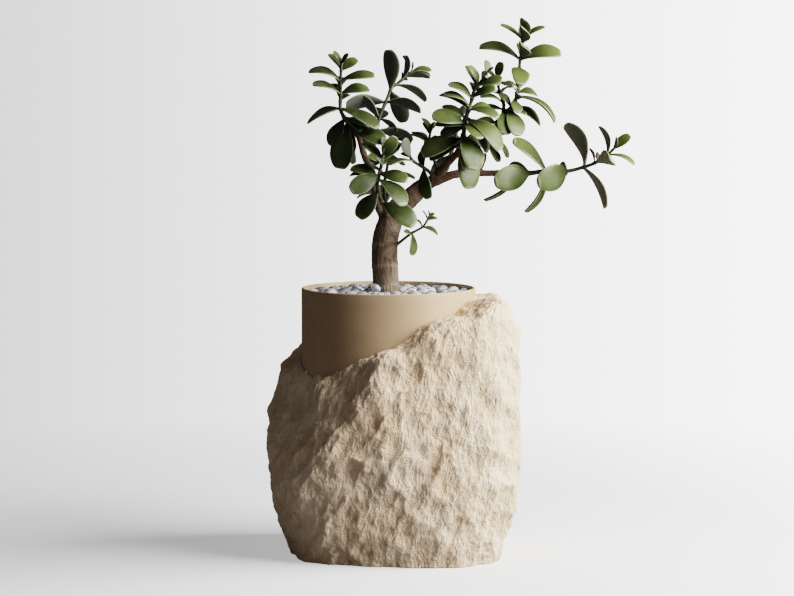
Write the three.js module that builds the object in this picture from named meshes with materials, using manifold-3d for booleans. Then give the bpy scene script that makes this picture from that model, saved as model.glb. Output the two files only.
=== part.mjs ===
// A jade plant grown as a small tree, in a thin tan pot that is seated in a rough block of sandstone.
// Millimetres, +Z up, +X to the right as seen from the front, +Y to the back.
// The origin is on the surface that the stone stands on, under the middle of the pot.
import * as THREE from "three";
import { mergeVertices } from "three/addons/utils/BufferGeometryUtils.js";
import Module from "manifold-3d";

// Driving dimensions
const POT = { radius: 90, height: 150, wall: 3, floor: 5, rim: 275, lipRound: 0.9, footRound: 4, sides: 48 };
const GAP = 0.3; // between pieces that touch
const EVEN_OUT = 0.15; // dents smaller than this are levelled
const POT_FOOT = POT.rim - POT.height;
const SOIL_TOP = POT.rim - 19;
const GRAVEL_TOP = POT.rim - 10;
const TRUNK_DEPTH = 82; // below the rim
const TRUNK_FOOT = POT.rim - TRUNK_DEPTH;
const TRUNK_HOLE = { x: -2, radius: 14.6, sides: 16 }; // plain hole in soil and gravel
const PEBBLES = { count: 42, size: 20.5, spread: 0.16, height: 0.74, lift: 0.6 };
const STONE = {
  middle: [5, 0, 123],
  detail: 9,
  roundness: 26,
  socketClearance: 0.4,
};
const LEAF = {
  widthRatio: 0.58,
  thicknessRatio: 0.1,
  thinnest: 1.8,
  neck: 0.1,
  widest: 0.6,
  endWidth: 0.3,
  cup: 0.1,
  archFlat: 0.04,
  archOpen: 0.1,
};
const LIGHT = [0.45, -0.7, 0.55]; // leaves turn their faces this way
const STEM_SIDES = 5;
const STEM_STEP = 11;

const wasm = await Module();
wasm.setup();

const COLOURS = {
  stone: { color: 0xc2a283, roughness: 0.95 },
  pot: { color: 0xa98a66, roughness: 0.6 },
  soil: { color: 0x3a2c22, roughness: 1 },
  pebbles: { color: 0xb9bac0, roughness: 0.6 },
  wood: { color: 0x5e4435, roughness: 0.85 },
  leaf: { color: 0x4f7332, roughness: 0.4 },
};

// A repeatable draw from 0 to 1 for every whole number.
function draw(seed) {
  const wave = Math.sin(seed * 127.1 + 311.7) * 43758.5453;
  return wave - Math.floor(wave);
}

function between(low, high, seed) {
  return low + (high - low) * draw(seed);
}

function vector([x, y, z]) {
  return new THREE.Vector3(x, y, z);
}

// A point of the plant, whose heights are given above the pot's rim.
function abovePot([x, y, z]) {
  return new THREE.Vector3(x, y, POT.rim + z);
}

// Closed geometry and solids

// Rings of equal length, joined in order and closed at both ends by a fan round the ring's middle.
function loft(rings) {
  const sides = rings[0].length;
  const points = rings.flat();
  const faces = [];
  for (let ring = 0; ring + 1 < rings.length; ring += 1) {
    for (let side = 0; side < sides; side += 1) {
      const a = ring * sides + side;
      const b = ring * sides + ((side + 1) % sides);
      faces.push(a, b, b + sides, a, b + sides, a + sides);
    }
  }
  const last = (rings.length - 1) * sides;
  for (let side = 1; side + 1 < sides; side += 1) {
    faces.push(0, side + 1, side);
    faces.push(last, last + side, last + side + 1);
  }
  return geometryOf(points, faces);
}

function geometryOf(points, faces) {
  const geometry = new THREE.BufferGeometry();
  const numbers = points.flatMap(({ x, y, z }) => [x, y, z]);
  geometry.setAttribute("position", new THREE.Float32BufferAttribute(numbers, 3));
  geometry.setIndex(faces);
  return geometry;
}

function solidOf(geometry) {
  const bare = geometry.clone();
  bare.deleteAttribute("normal");
  bare.deleteAttribute("uv");
  const merged = mergeVertices(bare, 1e-4);
  const solid = new wasm.Manifold(
    new wasm.Mesh({
      numProp: 3,
      vertProperties: merged.attributes.position.array,
      triVerts: new Uint32Array(merged.index.array),
    }),
  );
  return solid.volume() < 0 ? turnedRound(merged) : solid;
}

function turnedRound(merged) {
  const faces = merged.index.array;
  const turned = new Uint32Array(faces.length);
  for (let i = 0; i < faces.length; i += 3) {
    turned.set([faces[i], faces[i + 2], faces[i + 1]], i);
  }
  return new wasm.Manifold(
    new wasm.Mesh({ numProp: 3, vertProperties: merged.attributes.position.array, triVerts: turned }),
  );
}

function largestPiece(solid) {
  return solid.decompose().reduce((best, piece) => (piece.volume() > best.volume() ? piece : best));
}

function joined(solids) {
  return solids.reduce((whole, next) => whole.add(next));
}

function meshOf(name, solid, look) {
  const { vertProperties, triVerts, numProp } = largestPiece(solid).simplify(EVEN_OUT).getMesh();
  const points = [];
  for (let i = 0; i < vertProperties.length; i += numProp) {
    points.push(vector(vertProperties.slice(i, i + 3)));
  }
  const geometry = geometryOf(points, Array.from(triVerts));
  geometry.computeVertexNormals();
  const mesh = new THREE.Mesh(geometry, new THREE.MeshStandardMaterial({ metalness: 0, ...look }));
  mesh.name = name;
  return mesh;
}

function upright(radius, bottom, top, sides) {
  const geometry = new THREE.CylinderGeometry(radius, radius, top - bottom, sides);
  geometry.rotateX(Math.PI / 2);
  geometry.translate(0, 0, (top + bottom) / 2);
  return geometry;
}

// A smooth route through a few points, with the distance along it in millimetres.
class Route {
  constructor(points) {
    this.curve = new THREE.CatmullRomCurve3(points.map(abovePot), false, "catmullrom", 0.5);
    this.curve.arcLengthDivisions = 400;
    this.length = this.curve.getLength();
  }

  at(distance) {
    return this.curve.getPointAt(THREE.MathUtils.clamp(distance / this.length, 0, 1));
  }

  along(distance) {
    return this.curve.getTangentAt(THREE.MathUtils.clamp(distance / this.length, 0, 1));
  }

  // Two directions across the route: one to the side, one away from the front.
  across(distance) {
    const along = this.along(distance);
    const side = new THREE.Vector3(0, 1, 0).cross(along).normalize();
    return { along, side, away: along.clone().cross(side) };
  }
}

function rod(route, start, end, radiusAt, sides, step) {
  const count = Math.max(1, Math.ceil((end - start) / step));
  const rings = [];
  for (let i = 0; i <= count; i += 1) {
    const distance = start + ((end - start) * i) / count;
    const { side, away } = route.across(distance);
    const middle = route.at(distance);
    const radius = radiusAt(distance);
    rings.push(
      Array.from({ length: sides }, (_, k) => {
        const angle = (2 * Math.PI * k) / sides;
        return middle
          .clone()
          .addScaledVector(side, radius * Math.cos(angle))
          .addScaledVector(away, radius * Math.sin(angle));
      }),
    );
  }
  return solidOf(loft(rings));
}

// Stone: a convex block with flat struck faces, softened where they meet, and roughened by waves.
// Each face: direction from the front towards the right, upward tilt (degrees), distance from the middle.
const STRUCK_FACES = [
  [90, -15, 141],
  [90, 1, 133.5],
  [90, 30, 172],
  [95, 46, 190],
  [180, 86, 145],
  [48, 4, 141],
  [40, -14, 150],
  [13, 2, 116],
  [-8, -8, 119],
  [-20, -10, 120],
  [-52, 22, 111.5],
  [-60, -10, 134],
  [-90, -20, 145],
  [-90, 0, 131.5],
  [-88, 34, 142],
  [-132, 4, 144],
  [180, 3, 114],
  [178, -14, 122],
  [180, 34, 152],
  [134, 3, 144],
];
const STONE_TOP = { belowRim: 41, rightward: 0.4, backward: 0.17 }; // sloping top, at the pot's middle
// Bosses and dents: direction from the front towards the right, upward tilt, width (degrees), height.
const BOSSES = [
  [26, 50, 10, 7],
  [-14, 44, 9, -2],
  [-88, 18, 9, -9],
  [88, 56, 6, -6],
];
const WAVES = [
  { length: 62, height: 3.4 },
  { length: 34, height: 2.2 },
  { length: 21, height: 1.2 },
];

// A direction from its turn from the front towards the right and its upward tilt.
function heading(turn, tilt) {
  const a = THREE.MathUtils.degToRad(turn);
  const e = THREE.MathUtils.degToRad(tilt);
  return new THREE.Vector3(Math.sin(a) * Math.cos(e), -Math.cos(a) * Math.cos(e), Math.sin(e));
}

function struckFaces() {
  const faces = STRUCK_FACES.map(([turn, tilt, distance]) => ({ normal: heading(turn, tilt), distance }));
  const slope = new THREE.Vector3(-STONE_TOP.rightward, -STONE_TOP.backward, 1);
  const height = POT.rim - STONE_TOP.belowRim + STONE_TOP.rightward * STONE.middle[0] - STONE.middle[2];
  faces.push({ normal: slope.clone().normalize(), distance: height / slope.length() });
  faces.push({ normal: new THREE.Vector3(0, 0, -1), distance: STONE.middle[2] + 20 });
  return faces;
}

// A bumpy field made of crossed waves that never line up, from about -1 to 1.
function bumps(point, length, seed) {
  const k = (2 * Math.PI) / length;
  const { x, y, z } = point;
  const turned = Math.sin(k * (0.8 * x - 0.5 * z) + seed) + Math.sin(k * (0.7 * y + 0.6 * z) + 2.1 * seed);
  const crossed = Math.sin(k * (0.6 * x - 0.5 * y - 0.55 * z) + 3.7 * seed + 1.5 * turned);
  return (crossed + 0.5 * turned) / 2;
}

function bossHeight(direction) {
  return BOSSES.reduce((total, [turn, tilt, width, height]) => {
    const apart = THREE.MathUtils.radToDeg(direction.angleTo(heading(turn, tilt)));
    return total + height * Math.exp(-((apart / width) ** 2));
  }, 0);
}

function stoneSolid() {
  const faces = struckFaces();
  const geometry = new THREE.IcosahedronGeometry(1, STONE.detail);
  const position = geometry.attributes.position;
  const direction = new THREE.Vector3();
  const middle = vector(STONE.middle);
  for (let i = 0; i < position.count; i += 1) {
    direction.fromBufferAttribute(position, i).normalize();
    let sum = 0;
    for (const { normal, distance } of faces) {
      sum += Math.max(0, direction.dot(normal) / distance) ** STONE.roundness;
    }
    const reach = sum ** (-1 / STONE.roundness);
    const point = middle.clone().addScaledVector(direction, reach);
    const heights = WAVES.map(({ length, height }, n) => height * bumps(point, length, n + 1));
    point.addScaledVector(direction, heights.reduce((total, rise) => total + rise, bossHeight(direction)));
    position.setXYZ(i, point.x, point.y, point.z);
  }
  const far = 400;
  const ground = solidOf(new THREE.BoxGeometry(far, far, far).translate(0, 0, -far / 2));
  const socket = solidOf(upright(POT.radius + STONE.socketClearance, POT_FOOT - GAP, far, POT.sides));
  return solidOf(geometry).subtract(ground).subtract(socket);
}

// Pot: a thin turned wall and floor with a rounded lip and foot.
function potSolid() {
  const inner = POT.radius - POT.wall;
  const profile = [
    [0, POT_FOOT],
    [POT.radius - POT.footRound, POT_FOOT],
    [POT.radius, POT_FOOT + POT.footRound],
    [POT.radius, POT.rim - POT.lipRound],
    [POT.radius - POT.lipRound, POT.rim],
    [inner + POT.lipRound, POT.rim],
    [inner, POT.rim - POT.lipRound],
    [inner, POT_FOOT + POT.floor],
    [0, POT_FOOT + POT.floor],
  ];
  const points = profile.map(([x, y]) => new THREE.Vector2(x, y));
  return solidOf(new THREE.LatheGeometry(points, POT.sides).rotateX(Math.PI / 2));
}

function fillRadius() {
  return POT.radius - POT.wall - 2 * GAP;
}

function trunkHole(bottom, top) {
  return solidOf(upright(TRUNK_HOLE.radius, bottom, top, TRUNK_HOLE.sides).translate(TRUNK_HOLE.x, 0, 0));
}

function soilSolid() {
  const body = solidOf(upright(fillRadius(), POT_FOOT + POT.floor + GAP, SOIL_TOP, POT.sides));
  return body.subtract(trunkHole(TRUNK_FOOT - GAP, SOIL_TOP + 1));
}

// Pebbles: flattened stones on a sunflower spiral, sunk in a thin bed of the same gravel.
function pebblesSolid() {
  const bed = solidOf(upright(fillRadius(), SOIL_TOP + GAP, GRAVEL_TOP, POT.sides));
  const goldenAngle = Math.PI * (3 - Math.sqrt(5));
  const solids = [bed];
  for (let i = 0; i < PEBBLES.count; i += 1) {
    const half = (PEBBLES.size / 2) * between(1 - PEBBLES.spread, 1 + PEBBLES.spread, 7 * i + 1);
    const reach = (fillRadius() - half) * Math.sqrt((i + 4) / (PEBBLES.count + 3));
    const turn = i * goldenAngle;
    const pebble = new THREE.IcosahedronGeometry(half, 0);
    pebble.scale(1, between(0.72, 0.95, 7 * i + 2), 1);
    pebble.rotateX(between(-0.4, 0.4, 7 * i + 3));
    pebble.scale(1, 1, PEBBLES.height);
    pebble.rotateZ(between(0, 2 * Math.PI, 7 * i + 4));
    const lift = PEBBLES.lift + between(-0.8, 1.6, 7 * i + 5);
    pebble.translate(reach * Math.cos(turn), reach * Math.sin(turn), GRAVEL_TOP + lift);
    solids.push(solidOf(pebble));
  }
  return joined(solids).subtract(trunkHole(SOIL_TOP, POT.rim + PEBBLES.size));
}

// Wood: the bole and its brown limbs, each a route of points with the wood's radius there.
const WOOD = {
  bole: [
    [-2, 0, -TRUNK_DEPTH, 13],
    [-2, 0, -37, 13.4],
    [-2, 0, -7, 13.7],
    [-3, 0, 13, 13.7],
    [-4, 0, 33, 13.7],
    [-3, 0, 51, 13.5],
    [1, 0, 65, 13],
    [6, 0, 77, 12.3],
    [14, 0, 85, 11],
    [22, 0, 92, 10.2],
    [30, 0, 100, 9.4],
    [37, 0, 106, 8.3],
    [43, 0, 110, 6.8],
  ],
  upperLimb: [
    [33, 0, 102, 6.5],
    [44, 1, 110, 5.6],
    [50, 0, 116, 4.9],
    [59, -4, 127, 4.1],
    [69, -9, 137, 3.7],
    [73, -12, 144, 3.3],
  ],
  lowerLimb: [
    [33, 0, 102, 6.5],
    [46, 1, 109, 5.6],
    [57, 3, 113, 5],
    [69, 4, 117, 4.4],
    [84, 6, 118, 3.9],
    [98, 7, 118, 3.6],
    [112, 8, 118, 3.3],
    [128, 8, 118, 3],
  ],
  leftLimb: [
    [3, 0, 63, 8],
    [-4, 0, 74, 6.3],
    [-9, 0, 84, 5.5],
    [-12, 1, 96, 5.1],
    [-15, 2, 111, 4.6],
    [-19, 2, 124, 4.1],
    [-24, 0, 134, 3.7],
    [-28, -1, 147, 3.2],
    [-31, -2, 157, 2.9],
  ],
  spur: [
    [89, 6, 118, 3.6],
    [96, 11, 126, 3.3],
    [100, 20, 138, 3],
  ],
};
const WOOD_SIDES = { bole: 12, limb: 6 };
const WOOD_STEP = { bole: 14, limb: 12 };

function woodSolids() {
  return Object.entries(WOOD).map(([name, points]) => {
    const kind = name === "bole" ? "bole" : "limb";
    const route = new Route(points);
    const radii = points.map((p) => p[3]);
    const radiusAt = (distance) => {
      const place = route.curve.getUtoTmapping(distance / route.length) * (points.length - 1);
      const i = Math.min(points.length - 2, Math.floor(place));
      return THREE.MathUtils.lerp(radii[i], radii[i + 1], place - i);
    };
    return rod(route, 0, route.length, radiusAt, WOOD_SIDES[kind], WOOD_STEP[kind]);
  });
}

// Leafy stems. route: points of the centre line, from the wood outwards. woody: how far the brown twig goes.
// thick: radius at the foot and at the tip. sunward: how far the leaves turn their faces to the light.
// leaves: [distance along the stem, turn round it, opening, length] of one leaf, then the opening and length
// of the one opposite it, or 0 and 0 where there is none, and how far both face the light where that isn't
// the stem's sunward. Turn 0 is to the right on an upright stem and 90 is away from the front; an opening
// of 0 lies along the stem.
const STEMS = {
  stem_left: {
    route: [
      [-31, -2, 157], [-43, -6, 172], [-49, -8, 184], [-49, -10, 199], [-49, -12, 212], [-48, -15, 231],
    ],
    woody: 2,
    thick: [2.5, 1.4],
    sunward: 0.5,
    leaves: [
      [8, -58, 128, 42],
      [9, 165, 130, 30],
      [18, 195, 133, 50],
      [12, 89, 160, 34],
      [23, 170, 123, 34, 140, 28],
      [34, 155, 105, 41, 122, 47],
      [42, 85, 85, 30],
      [49, 200, 70, 33, 84, 32],
      [56, 95, 75, 26],
      [63, 178, 79, 35, 80, 37],
      [74, 121, 64, 28],
      [73, 32, 55, 22],
      [79, 165, 35, 17, 28, 15],
      [13, 166, 148, 42, 0, 0, -1.2],
      [25, -27, 155, 32],
      [48, 118, 64, 21],
    ],
  },
  stem_middle: {
    route: [
      [-19, 3, 124], [-14, 16, 152], [-10, 26, 173], [-2, 36, 193], [3, 41, 205], [9, 44, 210],
      [25, 50, 223],
    ],
    woody: 8,
    thick: [2.6, 1.3],
    sunward: 0,
    leaves: [
      [42, 190, 95, 30],
      [56, 176, 60, 33, 110, 24, -0.26],
      [66, 90, 85, 30],
      [76, 176, 118, 43, 0, 0, -0.65],
      [90, 40, 119, 40, 0, 0, -0.37],
      [99, 1, 62, 38, 0, 0, -0.12],
      [106, 95, 60, 22],
      [115, 160, 60, 24, 48, 25],
      [120, 185, 40, 12],
      [108, -158, 46, 27],
      [113, -31, 41, 27],
      [42, 20, 90, 42, 0, 0, -0.18],
      [76, -16, 88, 40, 0, 0, -0.2],
      [90, -146, 35, 44, 0, 0, -0.15],
      [120, 29, 29, 25, 0, 0, 0.65],
    ],
  },
  stem_sprig: {
    route: [[52, 0, 118], [46, 8, 135], [42, 12, 148], [44, 13, 164]],
    woody: 9,
    thick: [2, 1.2],
    sunward: 0.5,
    leaves: [
      [22, 150, 70, 14],
      [34, 160, 60, 24, 50, 12],
      [43, 140, 45, 17, 16, 14],
      [36, 137, 66, 27],
      [47, 137, 49, 19],
      [47, 45, 26, 12],
    ],
  },
  stem_front: {
    route: [[0, 0, 70], [-3, -18, 82], [-9, -28, 96], [-11, -33, 110], [-7, -33, 128], [-4, -30, 144]],
    woody: 16,
    thick: [2.6, 1.4],
    sunward: 0.85,
    leaves: [
      [45, -153, 120, 35],
      [62, -143, 123, 38, 0, 0, 0.84],
      [58, -49, 113, 49],
      [80, -148, 119, 17, 0, 0, 1.2],
      [64, -23, 90, 33, 0, 0, 1.09],
      [60, 155, 98, 32],
      [69, 255, 60, 15],
      [77, 150, 60, 32],
      [78, 30, 35, 29],
      [83, 95, 25, 14, 30, 12],
      [61, 169, 87, 31],
      [31, -61, 117, 45, 0, 0, 0.07],
      [74, 61, 80, 39],
      [83, -53, 32, 25],
      [85, 174, 9, 18],
      [74, -158, 72, 18],
    ],
  },
  stem_crown: {
    route: [[47, 0, 113], [41, -12, 121], [32, -18, 127], [25, -22, 132], [20, -25, 140]],
    woody: 9,
    thick: [2.2, 1.3],
    sunward: 0.5,
    leaves: [
      [22, -140, 117, 34, 70, 20, 0.14],
      [36, -161, 43, 30, 0, 0, 0.2],
      [41, -42, 15, 24, 45, 12, 0.44],
    ],
  },
  stem_centre: {
    route: [
      [73, -12, 144], [77, -16, 158], [78, -20, 171], [82, -20, 183], [85, -20, 193], [88, -20, 204],
      [94, -20, 212], [101, -20, 222],
    ],
    woody: 2,
    thick: [2.8, 1.2],
    sunward: 0.65,
    leaves: [
      [8, -48, 141, 52, 0, 0, 1.3],
      [6, 180, 133, 38, 123, 28],
      [10, 200, 124, 46, 100, 28],
      [14, -70, 118, 48],
      [25, 170, 92, 30, 110, 43],
      [28, 200, 83, 38],
      [26, -60, 100, 34],
      [42, 160, 82, 36],
      [43, 40, 86, 36],
      [54, 200, 75, 30, 60, 28],
      [60, 95, 65, 22],
      [67, 140, 65, 28],
      [68, 32, 46, 27],
      [75, 100, 40, 14, 60, 12],
      [83, 120, 45, 18, 30, 12],
      [54, 164, 72, 30],
      [45, -162, 84, 32],
      [32, 159, 79, 29],
      [23, 174, 114, 27],
      [15, -67, 133, 41],
      [32, -13, 114, 50],
      [56, -17, 60, 27],
      [70, -40, 45, 29],
      [42, -21, 88, 34],
      [70, -164, 71, 23],
      [35, -7, 131, 43],
    ],
  },
  stem_tall: {
    route: [
      [100, 20, 138], [108, 26, 155], [116, 30, 171], [121, 33, 180], [127, 34, 184], [132, 36, 192],
      [135, 36, 203], [136, 36, 216], [137, 36, 234], [139, 34, 250], [140, 32, 263],
    ],
    woody: 2,
    thick: [2.6, 1.3],
    sunward: 0.55,
    leaves: [
      [6, -112, 64, 28, 60, 20],
      [9, -30, 128, 24, 60, 14],
      [13, 185, 110, 26],
      [22, -20, 125, 31, 100, 26],
      [32, 150, 95, 26],
      [42, -78, 139, 32],
      [53, -45, 108, 26],
      [57, 18, 77, 39, 85, 21, 1.05],
      [66, -90, 70, 18],
      [71, -5, 109, 50, 0, 0, 0.18],
      [75, 35, 88, 26, 75, 24],
      [78, 90, 58, 42],
      [109, 180, 80, 46, 76, 45],
      [111, -92, 64, 36, 66, 28],
      [125, 90, 55, 26],
      [130, 173, 60, 29, 0, 0, 0.16],
      [133, -93, 40, 28, 25, 15],
      [51, -52, 119, 37, 0, 0, 1.3],
      [101, -92, 120, 37],
      [78, -151, 71, 18],
      [66, -80, 121, 25],
      [55, -44, 111, 40, 0, 0, 1.3],
      [127, -94, 54, 31],
      [130, -3, 56, 28, 0, 0, 0.31],
    ],
    side: {
      route: [[119, 32, 177], [120, 33, 189], [116, 34, 201], [112, 34, 218]],
      thick: [2, 1.2],
      sunward: 0.45,
      leaves: [
        [6, 165, 100, 28, 95, 26],
        [12, 200, 70, 28],
        [22, -50, 85, 22, 75, 22],
        [31, 100, 50, 18, 60, 16],
        [38, 0, 29, 20, 35, 16],
      ],
    },
  },
  stem_right: {
    route: [
      [128, 8, 118], [147, 8, 118], [162, 7, 120], [184, 6, 120], [201, 6, 124], [214, 4, 129],
      [226, 2, 137], [234, 1, 145],
    ],
    woody: 2,
    thick: [2.8, 1.3],
    sunward: 0.15,
    leaves: [
      [7, 7, 141, 47, 0, 0, 0.15],
      [18, -83, 136, 54, 125, 38, 0.3],
      [35, -3, 120, 49, 0, 0, 0.19],
      [56, -83, 128, 54, 102, 30],
      [74, -8, 79, 50, 0, 0, -0.43],
      [75, 154, 99, 54, 0, 0, -0.95],
      [88, -85, 62, 38, 90, 28],
      [102, -17, 58, 32, 0, 0, 0.38],
      [110, 41, 9, 24, 36, 16, 0.37],
      [86, 170, 84, 17, 0, 0, -1],
      [35, -153, 132, 51, 0, 0, 0.07],
      [102, 180, 69, 32, 0, 0, -0.98],
    ],
  },
  stem_low: {
    route: [[-2, 0, 36], [9, -6, 45], [23, -8, 56], [35, -9, 63], [40, -10, 70], [43, -10, 76]],
    woody: 17,
    thick: [1.8, 1],
    sunward: 0.4,
    leaves: [
      [35, -31, 120, 25],
      [34, 242, 108, 13],
      [47, 20, 66, 19, 88, 11],
      [56, 38, 56, 12, 60, 14],
      [60, 50, 45, 8, 43, 8],
    ],
  },
  stem_back_left: {
    route: [[2, 2, 70], [-4, 20, 90], [-4, 34, 108], [-1, 40, 125], [2, 42, 146], [3, 42, 160]],
    woody: 18,
    thick: [2.3, 1.2],
    sunward: 0.2,
    leaves: [
      [34, 200, 110, 32, 105, 34],
      [48, 95, 105, 34],
      [58, 185, 85, 32, 85, 32],
      [70, 90, 75, 28, 60, 20],
      [82, 190, 60, 26, 60, 26],
      [96, 95, 40, 18, 40, 15],
    ],
  },
  stem_back_right: {
    route: [[56, -2, 123], [63, 10, 134], [68, 22, 147], [72, 30, 164], [76, 34, 181]],
    woody: 9,
    thick: [2.3, 1.2],
    sunward: 0.2,
    leaves: [
      [22, 100, 120, 32],
      [32, 170, 95, 32, 100, 28],
      [46, 92, 85, 30],
      [56, 185, 70, 27, 60, 22],
      [66, 100, 45, 18, 40, 16],
    ],
  },
};

// Leaf: a thick obovate blade, widest past its middle, arched along its length and a little cupped.
function halfWidthAt(u) {
  if (u > LEAF.widest) {
    const past = (u - LEAF.widest) / (1 - LEAF.widest);
    return Math.sqrt(Math.max(0, 1 - past ** 2.2));
  }
  const grown = Math.sin((Math.PI / 2) * (u / LEAF.widest));
  return LEAF.neck + (1 - LEAF.neck) * grown ** 1.25;
}

const LEAF_STATIONS = [0.03, 0.3, 0.7];

function leafSolid(route, distance, turnDegrees, openDegrees, length, sunward, seed) {
  const { along, side, away } = route.across(distance);
  const turn = THREE.MathUtils.degToRad(turnDegrees);
  const open = THREE.MathUtils.degToRad(openDegrees);
  const outward = side.clone().multiplyScalar(Math.cos(turn)).addScaledVector(away, Math.sin(turn));
  const chord = along.clone().multiplyScalar(Math.cos(open)).addScaledVector(outward, Math.sin(open));
  const face = along.clone().multiplyScalar(Math.sin(open)).addScaledVector(outward, -Math.cos(open));
  const light = vector(LIGHT);
  light.addScaledVector(chord, -light.dot(chord)).normalize();
  face.lerp(light, sunward * between(0.6, 1.4, seed)).normalize();
  const cross = chord.clone().cross(face);
  const arch = (LEAF.archFlat + LEAF.archOpen * Math.sin(open) ** 2) * between(0.7, 1.4, seed + 0.31) * length;
  const halfWidth = (LEAF.widthRatio / 2) * length * between(0.92, 1.08, seed + 0.57);
  const halfThick = Math.max(LEAF.thinnest, LEAF.thicknessRatio * length) / 2;
  const base = route.at(distance);
  const pointAt = (u, sideways, up) =>
    base
      .clone()
      .addScaledVector(chord, u * length)
      .addScaledVector(face, arch * 4 * u * (1 - u) + up)
      .addScaledVector(cross, sideways);
  const rings = LEAF_STATIONS.map((u) => {
    const wide = halfWidth * halfWidthAt(u);
    const thick = halfThick * (0.75 + 0.25 * halfWidthAt(u));
    const lifted = LEAF.cup * wide;
    return [pointAt(u, -wide, lifted), pointAt(u, 0, thick), pointAt(u, wide, lifted), pointAt(u, 0, -thick)];
  });
  const tip = halfThick * 0.5;
  const tipWidth = halfWidth * LEAF.endWidth;
  rings.push([pointAt(1, -tipWidth, 0), pointAt(1, 0, tip), pointAt(1, tipWidth, 0), pointAt(1, 0, -tip)]);
  return solidOf(loft(rings));
}

function leafySolids({ route: points, woody = 0, thick, sunward, leaves, side }, seed) {
  const route = new Route(points);
  const start = woody + (side === null ? 0 : GAP);
  const radiusAt = (distance) => THREE.MathUtils.lerp(thick[0], thick[1], distance / route.length);
  const solids = [rod(route, start, route.length, radiusAt, STEM_SIDES, STEM_STEP)];
  leaves.forEach(([distance, turn, open, length, otherOpen, otherLength, facing = sunward], pair) => {
    const first = seed + 2 * pair;
    solids.push(leafSolid(route, distance, turn, open, length, facing, first));
    if (otherLength) {
      solids.push(leafSolid(route, distance, turn + 180, otherOpen, otherLength, facing, first + 1));
    }
  });
  return side ? solids.concat(leafySolids({ ...side, side: null }, seed + 50)) : solids;
}

function twigSolid({ route: points, woody, thick }) {
  const route = new Route(points);
  return rod(route, 0, woody, () => thick[0] + 0.5, STEM_SIDES, STEM_STEP);
}

const twigs = Object.values(STEMS).filter((stem) => stem.woody > 0).map(twigSolid);

const plantAndPot = new THREE.Group();
plantAndPot.add(meshOf("stone", stoneSolid(), COLOURS.stone));
plantAndPot.add(meshOf("pot", potSolid(), COLOURS.pot));
plantAndPot.add(meshOf("soil", soilSolid(), COLOURS.soil));
plantAndPot.add(meshOf("pebbles", pebblesSolid(), COLOURS.pebbles));
plantAndPot.add(meshOf("trunk", joined([...woodSolids(), ...twigs]), COLOURS.wood));
Object.entries(STEMS).forEach(([name, stem], i) => {
  plantAndPot.add(meshOf(name, joined(leafySolids(stem, 100 * (i + 1))), COLOURS.leaf));
});

export default plantAndPot;
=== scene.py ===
# A jade plant grown as a small tree, in a thin tan pot topped with pebbles, seated in a rough block of
# sandstone. Metres, +Z up, +X to the right as seen from the front. Every piece of the object that is made
# here rides on the body root; the soil from model.glb does not.
import math

import bmesh
import bpy
import numpy as np
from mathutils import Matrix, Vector, kdtree


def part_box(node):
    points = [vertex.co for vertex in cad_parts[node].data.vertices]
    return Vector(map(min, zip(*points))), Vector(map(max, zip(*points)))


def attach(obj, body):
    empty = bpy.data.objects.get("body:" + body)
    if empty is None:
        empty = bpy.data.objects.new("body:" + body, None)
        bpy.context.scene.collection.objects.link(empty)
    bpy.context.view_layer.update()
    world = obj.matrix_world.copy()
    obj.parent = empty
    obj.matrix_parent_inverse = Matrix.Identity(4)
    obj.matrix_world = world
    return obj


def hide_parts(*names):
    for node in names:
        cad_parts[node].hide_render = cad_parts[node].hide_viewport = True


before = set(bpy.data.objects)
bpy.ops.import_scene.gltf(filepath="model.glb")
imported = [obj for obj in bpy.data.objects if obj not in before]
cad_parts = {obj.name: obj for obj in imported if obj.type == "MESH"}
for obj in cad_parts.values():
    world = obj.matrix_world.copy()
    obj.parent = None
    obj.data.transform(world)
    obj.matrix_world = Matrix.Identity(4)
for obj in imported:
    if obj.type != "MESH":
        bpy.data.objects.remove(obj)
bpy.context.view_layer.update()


# Stone block
# One lump of warm sandstone, split and struck to shape, so that its skin is all scallops, chips and short
# chisel grooves. A round socket is cut down into its sloping top for the pot. It stands on its flat
# underside by its own weight.
pot_low, pot_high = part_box("pot")
rim = pot_high.z
pot_radius = (pot_high.x - pot_low.x) / 2

STONE_MIDDLE = np.array((0.005, 0.0, 0.123))
STONE_ROUNDNESS = 26
LUMP_FINENESS = 7
# Each face: direction from the front towards the right, upward tilt (degrees), distance from the middle.
STRUCK_FACES = (
    (90, -15, 0.141), (90, 1, 0.1335), (90, 30, 0.172), (95, 46, 0.19), (180, 86, 0.145), (48, 4, 0.141),
    (40, -14, 0.15), (13, 2, 0.116), (-8, -8, 0.119), (-20, -10, 0.12), (-52, 22, 0.1115), (-60, -10, 0.134),
    (-90, -20, 0.145), (-90, 0, 0.1315), (-88, 34, 0.142), (-132, 4, 0.144), (180, 3, 0.114),
    (178, -14, 0.122), (180, 34, 0.152), (134, 3, 0.144),
)
TOP_SLOPE = {"below_rim": 0.041, "rightward": 0.4, "backward": 0.17}
# Bosses and dents: direction as for the faces, width (degrees), height.
BOSSES = (
    (24, 52, 11, 0.013), (62, 56, 10, 0.006), (-8, 43, 9, 0.006), (88, 56, 6, -0.006), (90, 8, 26, -0.003),
    (-88, 18, 9, -0.014), (-112, 18, 10, -0.012), (-66, 18, 8, -0.006), (-88, -2, 8, 0.003),
    (-48, 27, 11, 0.008), (-40, -24, 14, 0.008), (-34, -4, 11, 0.005), (-27, -42, 13, 0.007),
)
SWELLS = ((0.062, 0.0022), (0.034, 0.0016), (0.021, 0.001))  # length and height of the slow waves in the skin
UNDERSIDE_SPARE = 0.02  # how far the lump reaches below the floor before it is cut flat
SOCKET_CLEARANCE = {"round": 0.0004, "under": 0.0003}
STROKE_LEAN = math.radians(-18)  # the chisel strokes lean to the right at the top
SKIN_GRAIN = 0.00185  # the size of the faces that carry the skin
SKIN_WANDER = (55.0, 0.012)  # how often and how far the skin's strokes stray
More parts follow.
